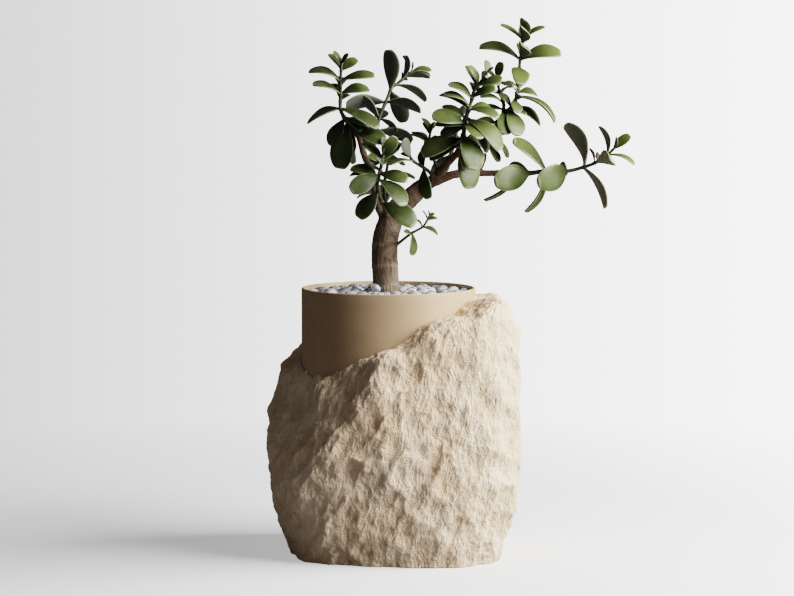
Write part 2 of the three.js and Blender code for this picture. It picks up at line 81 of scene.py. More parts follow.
GRAIN_WANDER = (32.0, 0.022)  # and those of the finer grain in the stone's finish
PITS_PER_METRE = 260.0
FLAKE_SIZE = 0.0034
GRAIN_RELIEF = 0.0014
CUTTER_SIDES = 160
SOCKET_SPARE = 0.1  # how far the socket's cutter stands above the rim
GROUND_REACH, GROUND_DEPTH = 0.5, 0.2


def node(tree, kind, inputs=None, **settings):
    """Adds a node, with each named or numbered input set to a value or joined to a socket."""
    made = tree.nodes.new(kind)
    for setting, value in settings.items():
        setattr(made, setting, value)
    for name, value in (inputs or {}).items():
        if isinstance(value, bpy.types.NodeSocket):
            tree.links.new(value, made.inputs[name])
        else:
            made.inputs[name].default_value = value
    return made


def maths(tree, operation, *values):
    return node(tree, "ShaderNodeMath", dict(enumerate(values)), operation=operation).outputs[0]


def times(tree, *values):
    product = values[0]
    for value in values[1:]:
        product = maths(tree, "MULTIPLY", product, value)
    return product


def plus(tree, first, second):
    return maths(tree, "ADD", first, second)


def scaled(tree, vector, share):
    inputs = {"Vector": vector, "Scale": share}
    return node(tree, "ShaderNodeVectorMath", inputs, operation="SCALE").outputs["Vector"]


def summed(tree, *vectors):
    total = vectors[0]
    for vector in vectors[1:]:
        total = node(tree, "ShaderNodeVectorMath", {0: total, 1: vector}, operation="ADD").outputs["Vector"]
    return total


def ranged(tree, value, low, high, to_low=0.0, to_high=1.0):
    """The value's place between low and high, as a share from to_low to to_high."""
    inputs = {"Value": value, "From Min": low, "From Max": high, "To Min": to_low, "To Max": to_high}
    return node(tree, "ShaderNodeMapRange", inputs).outputs["Result"]


def shaping_tree(name, inputs):
    """An empty Geometry Nodes tree with named inputs. Returns it with what it is given and its end."""
    tree = bpy.data.node_groups.new(name, "GeometryNodeTree")
    tree.interface.new_socket("Geometry", in_out="INPUT", socket_type="NodeSocketGeometry")
    tree.interface.new_socket("Geometry", in_out="OUTPUT", socket_type="NodeSocketGeometry")
    for label, kind in inputs.items():
        tree.interface.new_socket(label, in_out="INPUT", socket_type=kind)
    given = tree.nodes.new("NodeGroupInput").outputs
    end = tree.nodes.new("NodeGroupOutput").inputs["Geometry"]
    return tree, given, end


def shape_with(piece, tree, sizes):
    """Puts the tree on the piece as a modifier, with its named inputs set."""
    modifier = piece.modifiers.new(tree.name, "NODES")
    modifier.node_group = tree
    for item in tree.interface.items_tree:
        if item.item_type == "SOCKET" and item.in_out == "INPUT" and item.name in sizes:
            modifier[item.identifier] = sizes[item.name]


def placed(name, mesh):
    piece = bpy.data.objects.new(name, mesh)
    bpy.context.scene.collection.objects.link(piece)
    return piece


def built(name, bm):
    """Makes the shape that has been built up into a piece of its own."""
    mesh = bpy.data.meshes.new(name)
    bm.to_mesh(mesh)
    bm.free()
    return placed(name, mesh)


def worked_in(piece):
    """Works the piece's modifiers into its mesh and removes them."""
    depsgraph = bpy.context.evaluated_depsgraph_get()
    mesh = bpy.data.meshes.new_from_object(
        piece.evaluated_get(depsgraph), preserve_all_data_layers=True, depsgraph=depsgraph
    )
    piece.modifiers.clear()
    piece.data = mesh


def finished(piece, slot, *nodes):
    """Hands a piece over: it rides on the body and stands for these nodes, which are hidden. The slot is not
    used.
    """
    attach(piece, "root")
    if nodes:
        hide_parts(*nodes)


def cutter(name, radius, bottom, top):
    """An upright round bar to cut a hole with."""
    bm = bmesh.new()
    bmesh.ops.create_cone(
        bm, cap_ends=True, segments=CUTTER_SIDES, radius1=radius, radius2=radius, depth=top - bottom
    )
    bmesh.ops.translate(bm, verts=bm.verts, vec=(0, 0, (top + bottom) / 2))
    return built(name, bm)


def heading(turn, tilt):
    """A direction from its turn from the front towards the right and its upward tilt."""
    a, e = math.radians(turn), math.radians(tilt)
    return math.sin(a) * math.cos(e), -math.cos(a) * math.cos(e), math.sin(e)


def struck_lump():
    """The lump before its skin is worked: flat faces, softened where they meet, with swells and bosses."""
    normals = [heading(turn, tilt) for turn, tilt, _ in STRUCK_FACES]
    distances = [distance for *_, distance in STRUCK_FACES]
    slope = np.array((-TOP_SLOPE["rightward"], -TOP_SLOPE["backward"], 1.0))
    height = rim - TOP_SLOPE["below_rim"] + TOP_SLOPE["rightward"] * STONE_MIDDLE[0] - STONE_MIDDLE[2]
    normals += [tuple(slope / np.linalg.norm(slope)), (0, 0, -1)]
    distances += [height / np.linalg.norm(slope), STONE_MIDDLE[2] + UNDERSIDE_SPARE]

    bm = bmesh.new()
    bmesh.ops.create_icosphere(bm, subdivisions=LUMP_FINENESS, radius=1)
    directions = np.array([v.co for v in bm.verts])
    directions /= np.linalg.norm(directions, axis=1)[:, None]
    shares = np.maximum(0, directions @ np.array(normals).T / np.array(distances))
    reach = (shares**STONE_ROUNDNESS).sum(axis=1) ** (-1 / STONE_ROUNDNESS)
    points = STONE_MIDDLE + directions * reach[:, None]
    swell = np.zeros(len(points))
    for seed, (length, height) in enumerate(SWELLS, start=1):
        x, y, z = (2 * math.pi / length) * points.T
        turned = np.sin(0.8 * x - 0.5 * z + seed) + np.sin(0.7 * y + 0.6 * z + 2.1 * seed)
        crossed = np.sin(0.6 * x - 0.5 * y - 0.55 * z + 3.7 * seed + 1.5 * turned)
        swell += height * (crossed + 0.5 * turned) / 2
    for turn, tilt, width, height in BOSSES:
        apart = np.degrees(np.arccos(np.clip(directions @ np.array(heading(turn, tilt)), -1, 1)))
        swell += height * np.exp(-((apart / width) ** 2))
    points += directions * swell[:, None]
    for vert, point in zip(bm.verts, points):
        vert.co = point
    return built("stone_block", bm)


def raised(tree, geometry, height):
    """Moves a surface out along its own normals."""
    normal = node(tree, "GeometryNodeInputNormal").outputs[0]
    inputs = {"Geometry": geometry, "Offset": scaled(tree, normal, height)}
    return node(tree, "GeometryNodeSetPosition", inputs).outputs[0]


def wander(tree, place, often, far):
    """How a stroke strays at each place, so that none runs straight."""
    noise = node(tree, "ShaderNodeTexNoise", {"Vector": place, "Scale": often, "Detail": 3.0})
    return scaled(tree, noise.outputs["Color"], far)


def struck_skin():
    """Sinks scallops, chips and grooves into a closed lump. Chips and grooves run long down it."""
    sizes = ("Scallop Size", "Scallop Depth", "Chip Size", "Chip Depth", "Groove Size", "Groove Depth",
             "Pit Depth", "Stretch", "Lean", "Raise")
    tree, given, end = shaping_tree("struck skin", dict.fromkeys(sizes, "NodeSocketFloat"))
    place = node(tree, "GeometryNodeInputPosition").outputs[0]
    leant = node(
        tree, "ShaderNodeVectorRotate", {"Vector": place, "Angle": given["Lean"]}, rotation_type="Y_AXIS"
    ).outputs[0]
    along = maths(tree, "DIVIDE", 1.0, given["Stretch"])
    squeeze = node(tree, "ShaderNodeCombineXYZ", {0: 1.0, 1: 1.0, 2: along})
    strokes = node(
        tree, "ShaderNodeVectorMath", {0: leant, 1: squeeze.outputs[0]}, operation="MULTIPLY"
    ).outputs["Vector"]
    astray = wander(tree, place, *SKIN_WANDER)
    wandered = summed(tree, strokes, astray)

    def cells(size, depth, coordinates):
        """Hollows that meet in sharp ridges, from 0 in their middles to the depth on the ridges."""
        inputs = {"Vector": coordinates, "Scale": maths(tree, "DIVIDE", 1.0, size)}
        far = node(tree, "ShaderNodeTexVoronoi", inputs, feature="F1").outputs["Distance"]
        return times(tree, far, depth)

    scallops = cells(given["Scallop Size"], given["Scallop Depth"], summed(tree, leant, astray))
    chips = cells(given["Chip Size"], given["Chip Depth"], wandered)
    fine = {"Vector": wandered, "Scale": maths(tree, "DIVIDE", 1.0, given["Groove Size"]), "Detail": 3.0}
    groove = node(tree, "ShaderNodeTexNoise", fine).outputs["Fac"]
    ridge = maths(tree, "ABSOLUTE", maths(tree, "SUBTRACT", groove, 0.5))
    grooves = times(tree, ridge, -4.0, given["Groove Depth"])
    speckle = {"Vector": place, "Scale": PITS_PER_METRE, "Detail": 4.0}
    pit = node(tree, "ShaderNodeTexNoise", speckle).outputs["Fac"]
    pits = times(tree, maths(tree, "SUBTRACT", pit, 0.5), given["Pit Depth"])

    relief = plus(tree, plus(tree, scallops, chips), plus(tree, grooves, pits))
    height = maths(tree, "SUBTRACT", relief, given["Raise"])
    moved = raised(tree, given["Geometry"], height)
    hollow = {"Geometry": moved, "Name": "relief", "Value": relief}
    tree.links.new(node(tree, "GeometryNodeStoreNamedAttribute", hollow).outputs[0], end)
    return tree


def mottle_group():
    """Shader group: soft patches of a given size, as a mask. Every finish on the object uses it."""
    tree = bpy.data.node_groups.new("mottle", "ShaderNodeTree")
    tree.interface.new_socket("Vector", in_out="INPUT", socket_type="NodeSocketVector")
    for label in ("Size", "Detail", "Low", "High"):
        tree.interface.new_socket(label, in_out="INPUT", socket_type="NodeSocketFloat")
    tree.interface.new_socket("Mask", in_out="OUTPUT", socket_type="NodeSocketFloat")
    given = tree.nodes.new("NodeGroupInput").outputs
    scale = maths(tree, "DIVIDE", 1.0, given["Size"])
    inputs = {"Vector": given["Vector"], "Scale": scale, "Detail": given["Detail"]}
    patches = node(tree, "ShaderNodeTexNoise", inputs).outputs["Fac"]
    end = tree.nodes.new("NodeGroupOutput")
    tree.links.new(ranged(tree, patches, given["Low"], given["High"]), end.inputs["Mask"])
    return tree


MOTTLE = mottle_group()


def surface(name, roughness, specular=0.5):
    """A material with a plain Principled shader. Returns the material, its tree and the shader."""
    material = bpy.data.materials.new(name)
    material.use_nodes = True
    shader = material.node_tree.nodes["Principled BSDF"]
    shader.inputs["Roughness"].default_value = roughness
    shader.inputs["Specular IOR Level"].default_value = specular
    return material, material.node_tree, shader


def object_place(tree):
    return node(tree, "ShaderNodeTexCoord").outputs["Object"]


def mottled(tree, place, size, detail=4.0, low=0.35, high=0.65):
    inputs = {"Vector": place, "Size": size, "Detail": detail, "Low": low, "High": high}
    return node(tree, "ShaderNodeGroup", inputs, node_tree=MOTTLE).outputs["Mask"]


def tinted(tree, share, first, second):
    """A colour from first to second."""
    return node(tree, "ShaderNodeMix", {0: share, 6: first, 7: second}, data_type="RGBA").outputs[2]


def attribute(tree, name):
    return node(tree, "ShaderNodeAttribute", attribute_name=name).outputs["Fac"]


def bumped(tree, shader, height, distance):
    """Raises the surface by a height from 0 to 1 that stands this far out, in metres."""
    bump = node(tree, "ShaderNodeBump", {"Height": height, "Distance": distance, "Strength": 1.0})
    tree.links.new(bump.outputs["Normal"], shader.inputs["Normal"])


def sandstone():
    material, tree, shader = surface("sandstone", roughness=0.95, specular=0.2)
    place = object_place(tree)
    pale, tan, rust_and_hollow_shade = (0.84, 0.66, 0.48, 1), (0.75, 0.55, 0.37, 1), (0.5, 0.3, 0.165, 1)
    body = tinted(tree, mottled(tree, place, 0.06), tan, pale)
    stained = tinted(tree, mottled(tree, place, 0.011, 5.0, 0.58, 0.8), body, rust_and_hollow_shade)
    # Painted shade: the hollows of the struck skin, found from its relief, are tinted darker and warmer
    # towards the rust colour, for the shade that falls in them. The same colour also gives the real rust
    # stains in the mottled patches above.
    depth = ranged(tree, attribute(tree, "relief"), 0.0005, 0.0045, 1.0, 0.0)
    shaded = tinted(tree, times(tree, depth, 0.4), stained, rust_and_hollow_shade)
    tree.links.new(shaded, shader.inputs["Base Color"])
    astray = summed(tree, place, wander(tree, place, *GRAIN_WANDER))
    leant = node(tree, "ShaderNodeMapping", {"Vector": astray, "Rotation": (0, STROKE_LEAN, 0)}).outputs[0]
    strokes = node(tree, "ShaderNodeMapping", {"Vector": leant, "Scale": (1, 1, 0.45)}).outputs[0]
    flake = node(tree, "ShaderNodeTexVoronoi", {"Vector": strokes, "Scale": 1 / FLAKE_SIZE}, feature="F1")
    streak = mottled(tree, strokes, 0.0032, 4.0, 0.1, 0.9)
    fibre = maths(tree, "ABSOLUTE", maths(tree, "SUBTRACT", streak, 0.5))
    grit = mottled(tree, place, 0.0013, 4.0, 0.2, 0.8)
    rough = maths(tree, "MULTIPLY_ADD", fibre, -0.5, flake.outputs["Distance"])
    bumped(tree, shader, maths(tree, "MULTIPLY_ADD", grit, 0.5, rough), GRAIN_RELIEF)
    return material


stone = struck_lump()
even = stone.modifiers.new("even faces", "REMESH")
even.mode = "VOXEL"
even.voxel_size = SKIN_GRAIN
shape_with(stone, struck_skin(), {
    "Scallop Size": 0.029, "Scallop Depth": 0.005, "Chip Size": 0.0088, "Chip Depth": 0.003,
    "Groove Size": 0.006, "Groove Depth": 0.0011, "Pit Depth": 0.0016, "Stretch": 2.0, "Lean": STROKE_LEAN,
    "Raise": 0.0058,
})
socket_radius = pot_radius + SOCKET_CLEARANCE["round"]
socket = cutter("socket", socket_radius, pot_low.z - SOCKET_CLEARANCE["under"], rim + SOCKET_SPARE)
ground = cutter("ground", GROUND_REACH, -GROUND_DEPTH, 0.0)
for tool in (socket, ground):
    cut = stone.modifiers.new(tool.name, "BOOLEAN")
    cut.object = tool
    cut.operation = "DIFFERENCE"
    cut.solver = "MANIFOLD"
worked_in(stone)
for tool in (socket, ground):
    bpy.data.objects.remove(tool)
stone.data.materials.clear()
stone.data.materials.append(sandstone())
stone.data.shade_smooth()
finished(stone, "stone", "stone")


# Pot
# A thin round pot of tan clay, turned smooth, with a small round on its lip and foot and no glaze. It stands
# in the stone's socket by its own weight.
POT_WALL = 0.003
POT_FLOOR = 0.005
LIP_ROUND = 0.0014
FOOT_ROUND = 0.004
POT_SIDES = 176


def arc(centre, radius, start, end, steps):
    """Points of an arc in the profile's plane, from one angle to another in degrees."""
    angles = np.radians(np.linspace(start, end, steps))
    return [(centre[0] + radius * math.cos(a), centre[1] + radius * math.sin(a)) for a in angles]


def turned_pot():
    outer, inner, foot = pot_radius, pot_radius - POT_WALL, pot_low.z
    profile = [(0, foot)]
    profile += arc((outer - FOOT_ROUND, foot + FOOT_ROUND), FOOT_ROUND, -90, 0, 7)
    profile += [(outer, foot + step) for step in (0.03, 0.06, 0.09, 0.12, 0.14)]
    profile += arc((outer - LIP_ROUND, rim - LIP_ROUND), LIP_ROUND, 0, 90, 6)
    profile += arc((inner + LIP_ROUND, rim - LIP_ROUND), LIP_ROUND, 90, 180, 6)
    profile += [(inner, rim - step) for step in (0.01, 0.03, 0.07, 0.11)]
    profile += arc((inner - FOOT_ROUND, foot + POT_FLOOR + FOOT_ROUND), FOOT_ROUND, 0, -90, 5)
    profile += [(0, foot + POT_FLOOR)]
    bm = bmesh.new()
    verts = [bm.verts.new((x, 0, z)) for x, z in profile]
    edges = [bm.edges.new(pair) for pair in zip(verts, verts[1:])]
    bmesh.ops.spin(
        bm, geom=verts + edges, axis=(0, 0, 1), cent=(0, 0, 0), steps=POT_SIDES, angle=2 * math.pi,
        use_merge=True,
    )
    bmesh.ops.remove_doubles(bm, verts=bm.verts, dist=1e-6)
    bmesh.ops.recalc_face_normals(bm, faces=bm.faces)
    return built("clay_pot", bm)


def matt_clay():
    material, tree, shader = surface("matt clay", roughness=0.62, specular=0.35)
    place = object_place(tree)
    light, dark = (0.50, 0.34, 0.21, 1), (0.45, 0.3, 0.182, 1)
    body = tinted(tree, mottled(tree, place, 0.05, 3.0, 0.3, 0.7), dark, light)
    fleck = mottled(tree, place, 0.0016, 2.0, 0.66, 0.74)
    speckled = tinted(tree, times(tree, fleck, 0.18), body, (0.25, 0.16, 0.1, 1))
    tree.links.new(speckled, shader.inputs["Base Color"])
    rough = ranged(tree, mottled(tree, place, 0.02), 0.0, 1.0, 0.56, 0.68)
    tree.links.new(rough, shader.inputs["Roughness"])
    bumped(tree, shader, mottled(tree, place, 0.0012, 3.0, 0.2, 0.8), 0.00008)
    return material


pot = turned_pot()
pot.data.shade_smooth()
pot.data.materials.append(matt_clay())
finished(pot, "pot", "pot")


# Soil
# The pot is filled with dark, crumbly potting soil up to the pebbles, which hide it.
def potting_soil():
    material, tree, shader = surface("potting soil", roughness=1.0, specular=0.1)
    place = object_place(tree)
    crumbs = mottled(tree, place, 0.003, 6.0)
    body = tinted(tree, crumbs, (0.02, 0.013, 0.009, 1), (0.07, 0.045, 0.03, 1))
    tree.links.new(body, shader.inputs["Base Color"])
    bumped(tree, shader, crumbs, 0.002)
    return material


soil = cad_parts["soil"]
soil.data.materials.clear()
soil.data.materials.append(potting_soil())


# Pebbles
# A top dressing of tumbled white and grey marble pebbles, poured over the soil to just under the rim. They
# lie loose, flat side down, in two layers, round the foot of the trunk.
PEBBLE_SIZE = 0.0142
SMALLEST, LARGEST = 0.72, 1.22  # of that size
PEBBLE_RING = 0.0148  # clear round the trunk's middle
WALL_GAP = 0.0006
SETTLING = 160  # rounds of pushing apart
SETTLING_PUSH = 0.35  # the share of an overlap that one round takes away
NEAREST = 0.46  # how near two middles may come, as a share of both sizes together
TRUNK_NEAREST = 0.42
TRUNK_X = -0.002
# Each layer: the depth of its pebbles' middles below the rim, their number, the seed of their places.
LAYERS = ((0.0105, 132, 5), (0.0064, 140, 11))
BIG_PEBBLE = {
    "place": (-0.0145, -0.0185), "above_rim": 0.0004, "size": (0.0068, 0.006, 0.0052),
    "turn": (0.1, 0.2, 0.3), "tone": 0.2,
}


def poured(count, seed):
    """Places for one layer of pebbles, pushed apart until they fill the pot evenly. Each has its own size."""
    rng = np.random.default_rng(seed)
    sizes = PEBBLE_SIZE * rng.uniform(SMALLEST, LARGEST, count)
    reach = pot_radius - POT_WALL - WALL_GAP - sizes * 0.5
    spin = rng.uniform(0, 2 * math.pi, count)
    places = (np.sqrt(rng.uniform(0.03, 1, count)) * reach * np.array((np.cos(spin), np.sin(spin)))).T
    foot = np.array((TRUNK_X, 0.0))
    for _ in range(SETTLING):
        apart = places[:, None] - places[None]
        gap = np.linalg.norm(apart, axis=2) + np.eye(count)
        want = NEAREST * (sizes[:, None] + sizes[None])
        push = np.maximum(0, want - gap) * (1 - np.eye(count))
        places = places + SETTLING_PUSH * (apart / gap[..., None] * push[..., None]).sum(axis=1)
        from_trunk = places - foot
        clear = np.linalg.norm(from_trunk, axis=1)
        away = np.maximum(0, PEBBLE_RING + sizes * TRUNK_NEAREST - clear)
        places += from_trunk / clear[:, None] * away[:, None]
        out = np.linalg.norm(places, axis=1)
        places *= np.minimum(1, reach / out)[:, None]
    return places, sizes, rng


def marked(mesh, name, values):
    """Gives each point of a mesh its own number or direction under this name."""
    values = np.asarray(values, np.float32)
    kind, key = ("FLOAT_VECTOR", "vector") if values.ndim == 2 else ("FLOAT", "value")
    mesh.attributes.new(name, kind, "POINT").data.foreach_set(key, values.ravel())


def pebble_places():
    """A cloud of points, one to a pebble, that says how it is sized, turned and toned."""
    points, scales, turns, tones = [], [], [], []
    for depth, count, seed in LAYERS:
        places, sizes, rng = poured(count, seed)
        for (x, y), size in zip(places, sizes):
            points.append((x, y, rim - depth + rng.uniform(-0.0008, 0.0008)))
            scales.append((size / 2, size / 2 * rng.uniform(0.68, 0.95), size / 2 * rng.uniform(0.5, 0.7)))
            turns.append((rng.uniform(-0.3, 0.3), rng.uniform(-0.3, 0.3), rng.uniform(0, 2 * math.pi)))
            tones.append(rng.uniform(0, 1))
    points.append((*BIG_PEBBLE["place"], rim + BIG_PEBBLE["above_rim"]))
    scales.append(BIG_PEBBLE["size"])
    turns.append(BIG_PEBBLE["turn"])
    tones.append(BIG_PEBBLE["tone"])
    mesh = bpy.data.meshes.new("pebble_dressing")
    mesh.from_pydata(points, [], [])
    for name, values in (("size", scales), ("turn", turns), ("tone", tones)):
        marked(mesh, name, values)
    return placed("pebble_dressing", mesh)


def named(tree, name, kind="FLOAT"):
    """What a geometry carries under this name."""
    return node(tree, "GeometryNodeInputNamedAttribute", {"Name": name}, data_type=kind).outputs["Attribute"]


def pebble_tree():
    """Puts a tumbled pebble on each point, with its own dents."""
    inputs = {"Dent Size": "NodeSocketFloat", "Dent Depth": "NodeSocketFloat", "Finish": "NodeSocketMaterial"}
    tree, given, end = shaping_tree("tumbled pebbles", inputs)
    ball = node(tree, "GeometryNodeMeshIcoSphere", {"Radius": 1.0, "Subdivisions": 2}).outputs["Mesh"]
    turn = node(tree, "FunctionNodeEulerToRotation", {0: named(tree, "turn", "FLOAT_VECTOR")}).outputs[0]
    stones = node(tree, "GeometryNodeInstanceOnPoints", {
        "Points": given["Geometry"], "Instance": ball, "Rotation": turn,
        "Scale": named(tree, "size", "FLOAT_VECTOR"),
    }).outputs[0]
    loose = node(tree, "GeometryNodeRealizeInstances", {"Geometry": stones}).outputs[0]
    place = node(tree, "GeometryNodeInputPosition").outputs[0]
    own = scaled(tree, node(tree, "ShaderNodeCombineXYZ", {2: named(tree, "tone")}).outputs[0], 3.0)
    scale = maths(tree, "DIVIDE", 1.0, given["Dent Size"])
    inputs = {"Vector": summed(tree, place, own), "Scale": scale, "Detail": 1.0}
    dents = node(tree, "ShaderNodeTexNoise", inputs).outputs["Fac"]
    depth = times(tree, maths(tree, "SUBTRACT", dents, 0.55), given["Dent Depth"])
    dented = raised(tree, loose, depth)
    smooth = node(tree, "GeometryNodeSetShadeSmooth", {"Geometry": dented}).outputs[0]
    done = node(tree, "GeometryNodeSetMaterial", {"Geometry": smooth, "Material": given["Finish"]})
    tree.links.new(done.outputs[0], end)
    return tree


def marble():
    material, tree, shader = surface("tumbled marble", roughness=0.5)
    place = object_place(tree)
    tone = attribute(tree, "tone")
    own = node(tree, "ShaderNodeCombineXYZ", {0: tone, 1: times(tree, tone, 7.0)}).outputs[0]
    within = summed(tree, place, own)
    grey = tinted(tree, ranged(tree, tone, 0.25, 0.6), (0.13, 0.135, 0.15, 1), (0.42, 0.42, 0.44, 1))
    cloud = mottled(tree, within, 0.007, 4.0, 0.42, 0.62)
    body = tinted(tree, cloud, grey, (0.62, 0.62, 0.62, 1))
    vein = mottled(tree, within, 0.004, 6.0, 0.6, 0.68)
    veined = tinted(tree, times(tree, vein, 0.6), body, (0.2, 0.21, 0.23, 1))
    tree.links.new(veined, shader.inputs["Base Color"])
    bumped(tree, shader, mottled(tree, place, 0.0009, 3.0, 0.2, 0.8), 0.00012)
    return material


pebbles = pebble_places()
shape_with(pebbles, pebble_tree(), {"Dent Size": 0.006, "Dent Depth": 0.0022, "Finish": marble()})
worked_in(pebbles)
finished(pebbles, "pebbles", "pebbles")


# Trunk and limbs
# The woody part of the plant: a thick bole that leans over into two long brown limbs, with a third to the
# left, all grown as one. Old leaf pairs have left rings round it, and the bark is finely furrowed.

# Each point of a route is x, y, height above the rim and the wood's radius there.
WOOD = {
    "bole": (
        (-0.002, 0, -0.082, 0.013), (-0.002, 0, -0.037, 0.0134), (-0.002, 0, -0.007, 0.0137),
        (-0.003, 0, 0.013, 0.0137), (-0.004, 0, 0.033, 0.0137), (-0.003, 0, 0.051, 0.0135),
        (0.001, 0, 0.065, 0.013), (0.006, 0, 0.077, 0.0123), (0.014, 0, 0.085, 0.011),
        (0.022, 0, 0.092, 0.0102), (0.03, 0, 0.1, 0.0094), (0.037, 0, 0.106, 0.0083),
        (0.043, 0, 0.11, 0.0068),
    ),
    "upper_limb": (
        (0.033, 0, 0.102, 0.0065), (0.044, 0.001, 0.11, 0.0056), (0.05, 0, 0.116, 0.0049),
        (0.059, -0.004, 0.127, 0.0041), (0.069, -0.009, 0.137, 0.0037), (0.073, -0.012, 0.144, 0.0033),
    ),
    "lower_limb": (
        (0.033, 0, 0.102, 0.0065), (0.046, 0.001, 0.109, 0.0056), (0.057, 0.003, 0.113, 0.005),
        (0.069, 0.004, 0.117, 0.0044), (0.084, 0.006, 0.118, 0.0039), (0.098, 0.007, 0.118, 0.0036),
        (0.112, 0.008, 0.118, 0.0033), (0.128, 0.008, 0.118, 0.003),
    ),
    "left_limb": (
        (0.003, 0, 0.063, 0.008), (-0.004, 0, 0.074, 0.0063), (-0.009, 0, 0.084, 0.0055),
        (-0.012, 0.001, 0.096, 0.0051), (-0.015, 0.002, 0.111, 0.0046), (-0.019, 0.002, 0.124, 0.0041),
        (-0.024, 0, 0.134, 0.0037), (-0.028, -0.001, 0.147, 0.0032), (-0.031, -0.002, 0.157, 0.0029),
    ),
    "spur": (
        (0.089, 0.006, 0.118, 0.0036), (0.096, 0.011, 0.126, 0.0033), (0.1, 0.02, 0.138, 0.003),
    ),
}


class Route:
    """A smooth line through points whose heights are given above the rim, measured by distance along it."""

    def __init__(self, points, steps=48):
        knots = np.array([(x, y, rim + z) for x, y, z, *_ in points], float)
        ends = np.vstack((2 * knots[0] - knots[1], knots, 2 * knots[-1] - knots[-2]))
        line, places = [], []
        for i in range(len(knots) - 1):
            before, start, end, after = ends[i : i + 4]
            t = np.linspace(0, 1, steps, endpoint=i == len(knots) - 2)[:, None]
            leave, arrive = (end - before) / 2, (after - start) / 2
            line.append(
                start + leave * t + (3 * (end - start) - 2 * leave - arrive) * t**2
                + (2 * (start - end) + leave + arrive) * t**3
            )
            places.append(i + t[:, 0])
        self.line, self.places = np.vstack(line), np.concatenate(places)
        steps_long = np.linalg.norm(np.diff(self.line, axis=0), axis=1)
        self.distances = np.concatenate(((0,), np.cumsum(steps_long)))
        self.length = self.distances[-1]

    def at(self, distance):
        return np.array([np.interp(distance, self.distances, self.line[:, k]) for k in range(3)])

    def knot(self, distance):
        """The place along the given points, as a number that is whole at each of them."""
        return np.interp(distance, self.distances, self.places)

    def across(self, distance):
        """The direction along the line, and two across it: to the side, and away from the front."""
        ahead = min(distance + 0.0002, self.length)
        behind = max(distance - 0.0002, 0.0)
        along = self.at(ahead) - self.at(behind)
        along /= np.linalg.norm(along)
        side = np.cross((0.0, 1.0, 0.0), along)
        side /= np.linalg.norm(side)
        return along, side, np.cross(along, side)


def path_mesh(name, lines):
    """Open lines of points, each point with its radius."""
    points, edges, radii = [], [], []
    for line, thickness in lines:
        first = len(points)
        points += [tuple(p) for p in line]
        radii += list(thickness)
        edges += [(i, i + 1) for i in range(first, len(points) - 1)]
    mesh = bpy.data.meshes.new(name)
    mesh.from_pydata(points, edges, [])
    marked(mesh, "radius", radii)
    return mesh


def rods(tree, lines, sides):
    """Round rods along lines, as thick as the lines' points say."""
    curve = node(tree, "GeometryNodeMeshToCurve", {"Mesh": lines}).outputs[0]
    ring = node(tree, "GeometryNodeCurvePrimitiveCircle", {"Resolution": sides, "Radius": 1.0})
    return node(tree, "GeometryNodeCurveToMesh", {
        "Curve": curve, "Profile Curve": ring.outputs["Curve"], "Scale": named(tree, "radius"),
        "Fill Caps": True,
    }).outputs[0]


def rod_tree():
    tree, given, end = shaping_tree("round rods", {"Sides": "NodeSocketInt"})
    tree.links.new(rods(tree, given["Geometry"], given["Sides"]), end)
    return tree


WOOD_GRAIN = 0.0009
RING_EVERY = 0.021
RING_HEIGHT = 0.0004
RING_SHARPNESS = 9
RING_WAVER = 0.0012
FURROW_DEPTH = 0.0004
FURROWS = {"round": (9, 14), "along": (260, 410)}
TWIG_EXTRA = 0.0005  # how much thicker a shoot's brown foot is than the green stem
SHORTEST_TWIG = 0.005  # a shorter foot is left out
WOOD_STEP, TWIG_STEP = 0.0015, 0.001
WOOD_SIDES = 40


def wood_lines():
    lines, marks = [], []
    for points in WOOD.values():
        route = Route(points)
        distances = np.arange(0, route.length, WOOD_STEP)
        line = [route.at(d) for d in distances]
        radii = np.interp(route.knot(distances), range(len(points)), [p[3] for p in points])
        lines.append((line, radii))
        marks += [(p, d, route.across(d)) for p, d in zip(line, distances)]
    return lines, marks


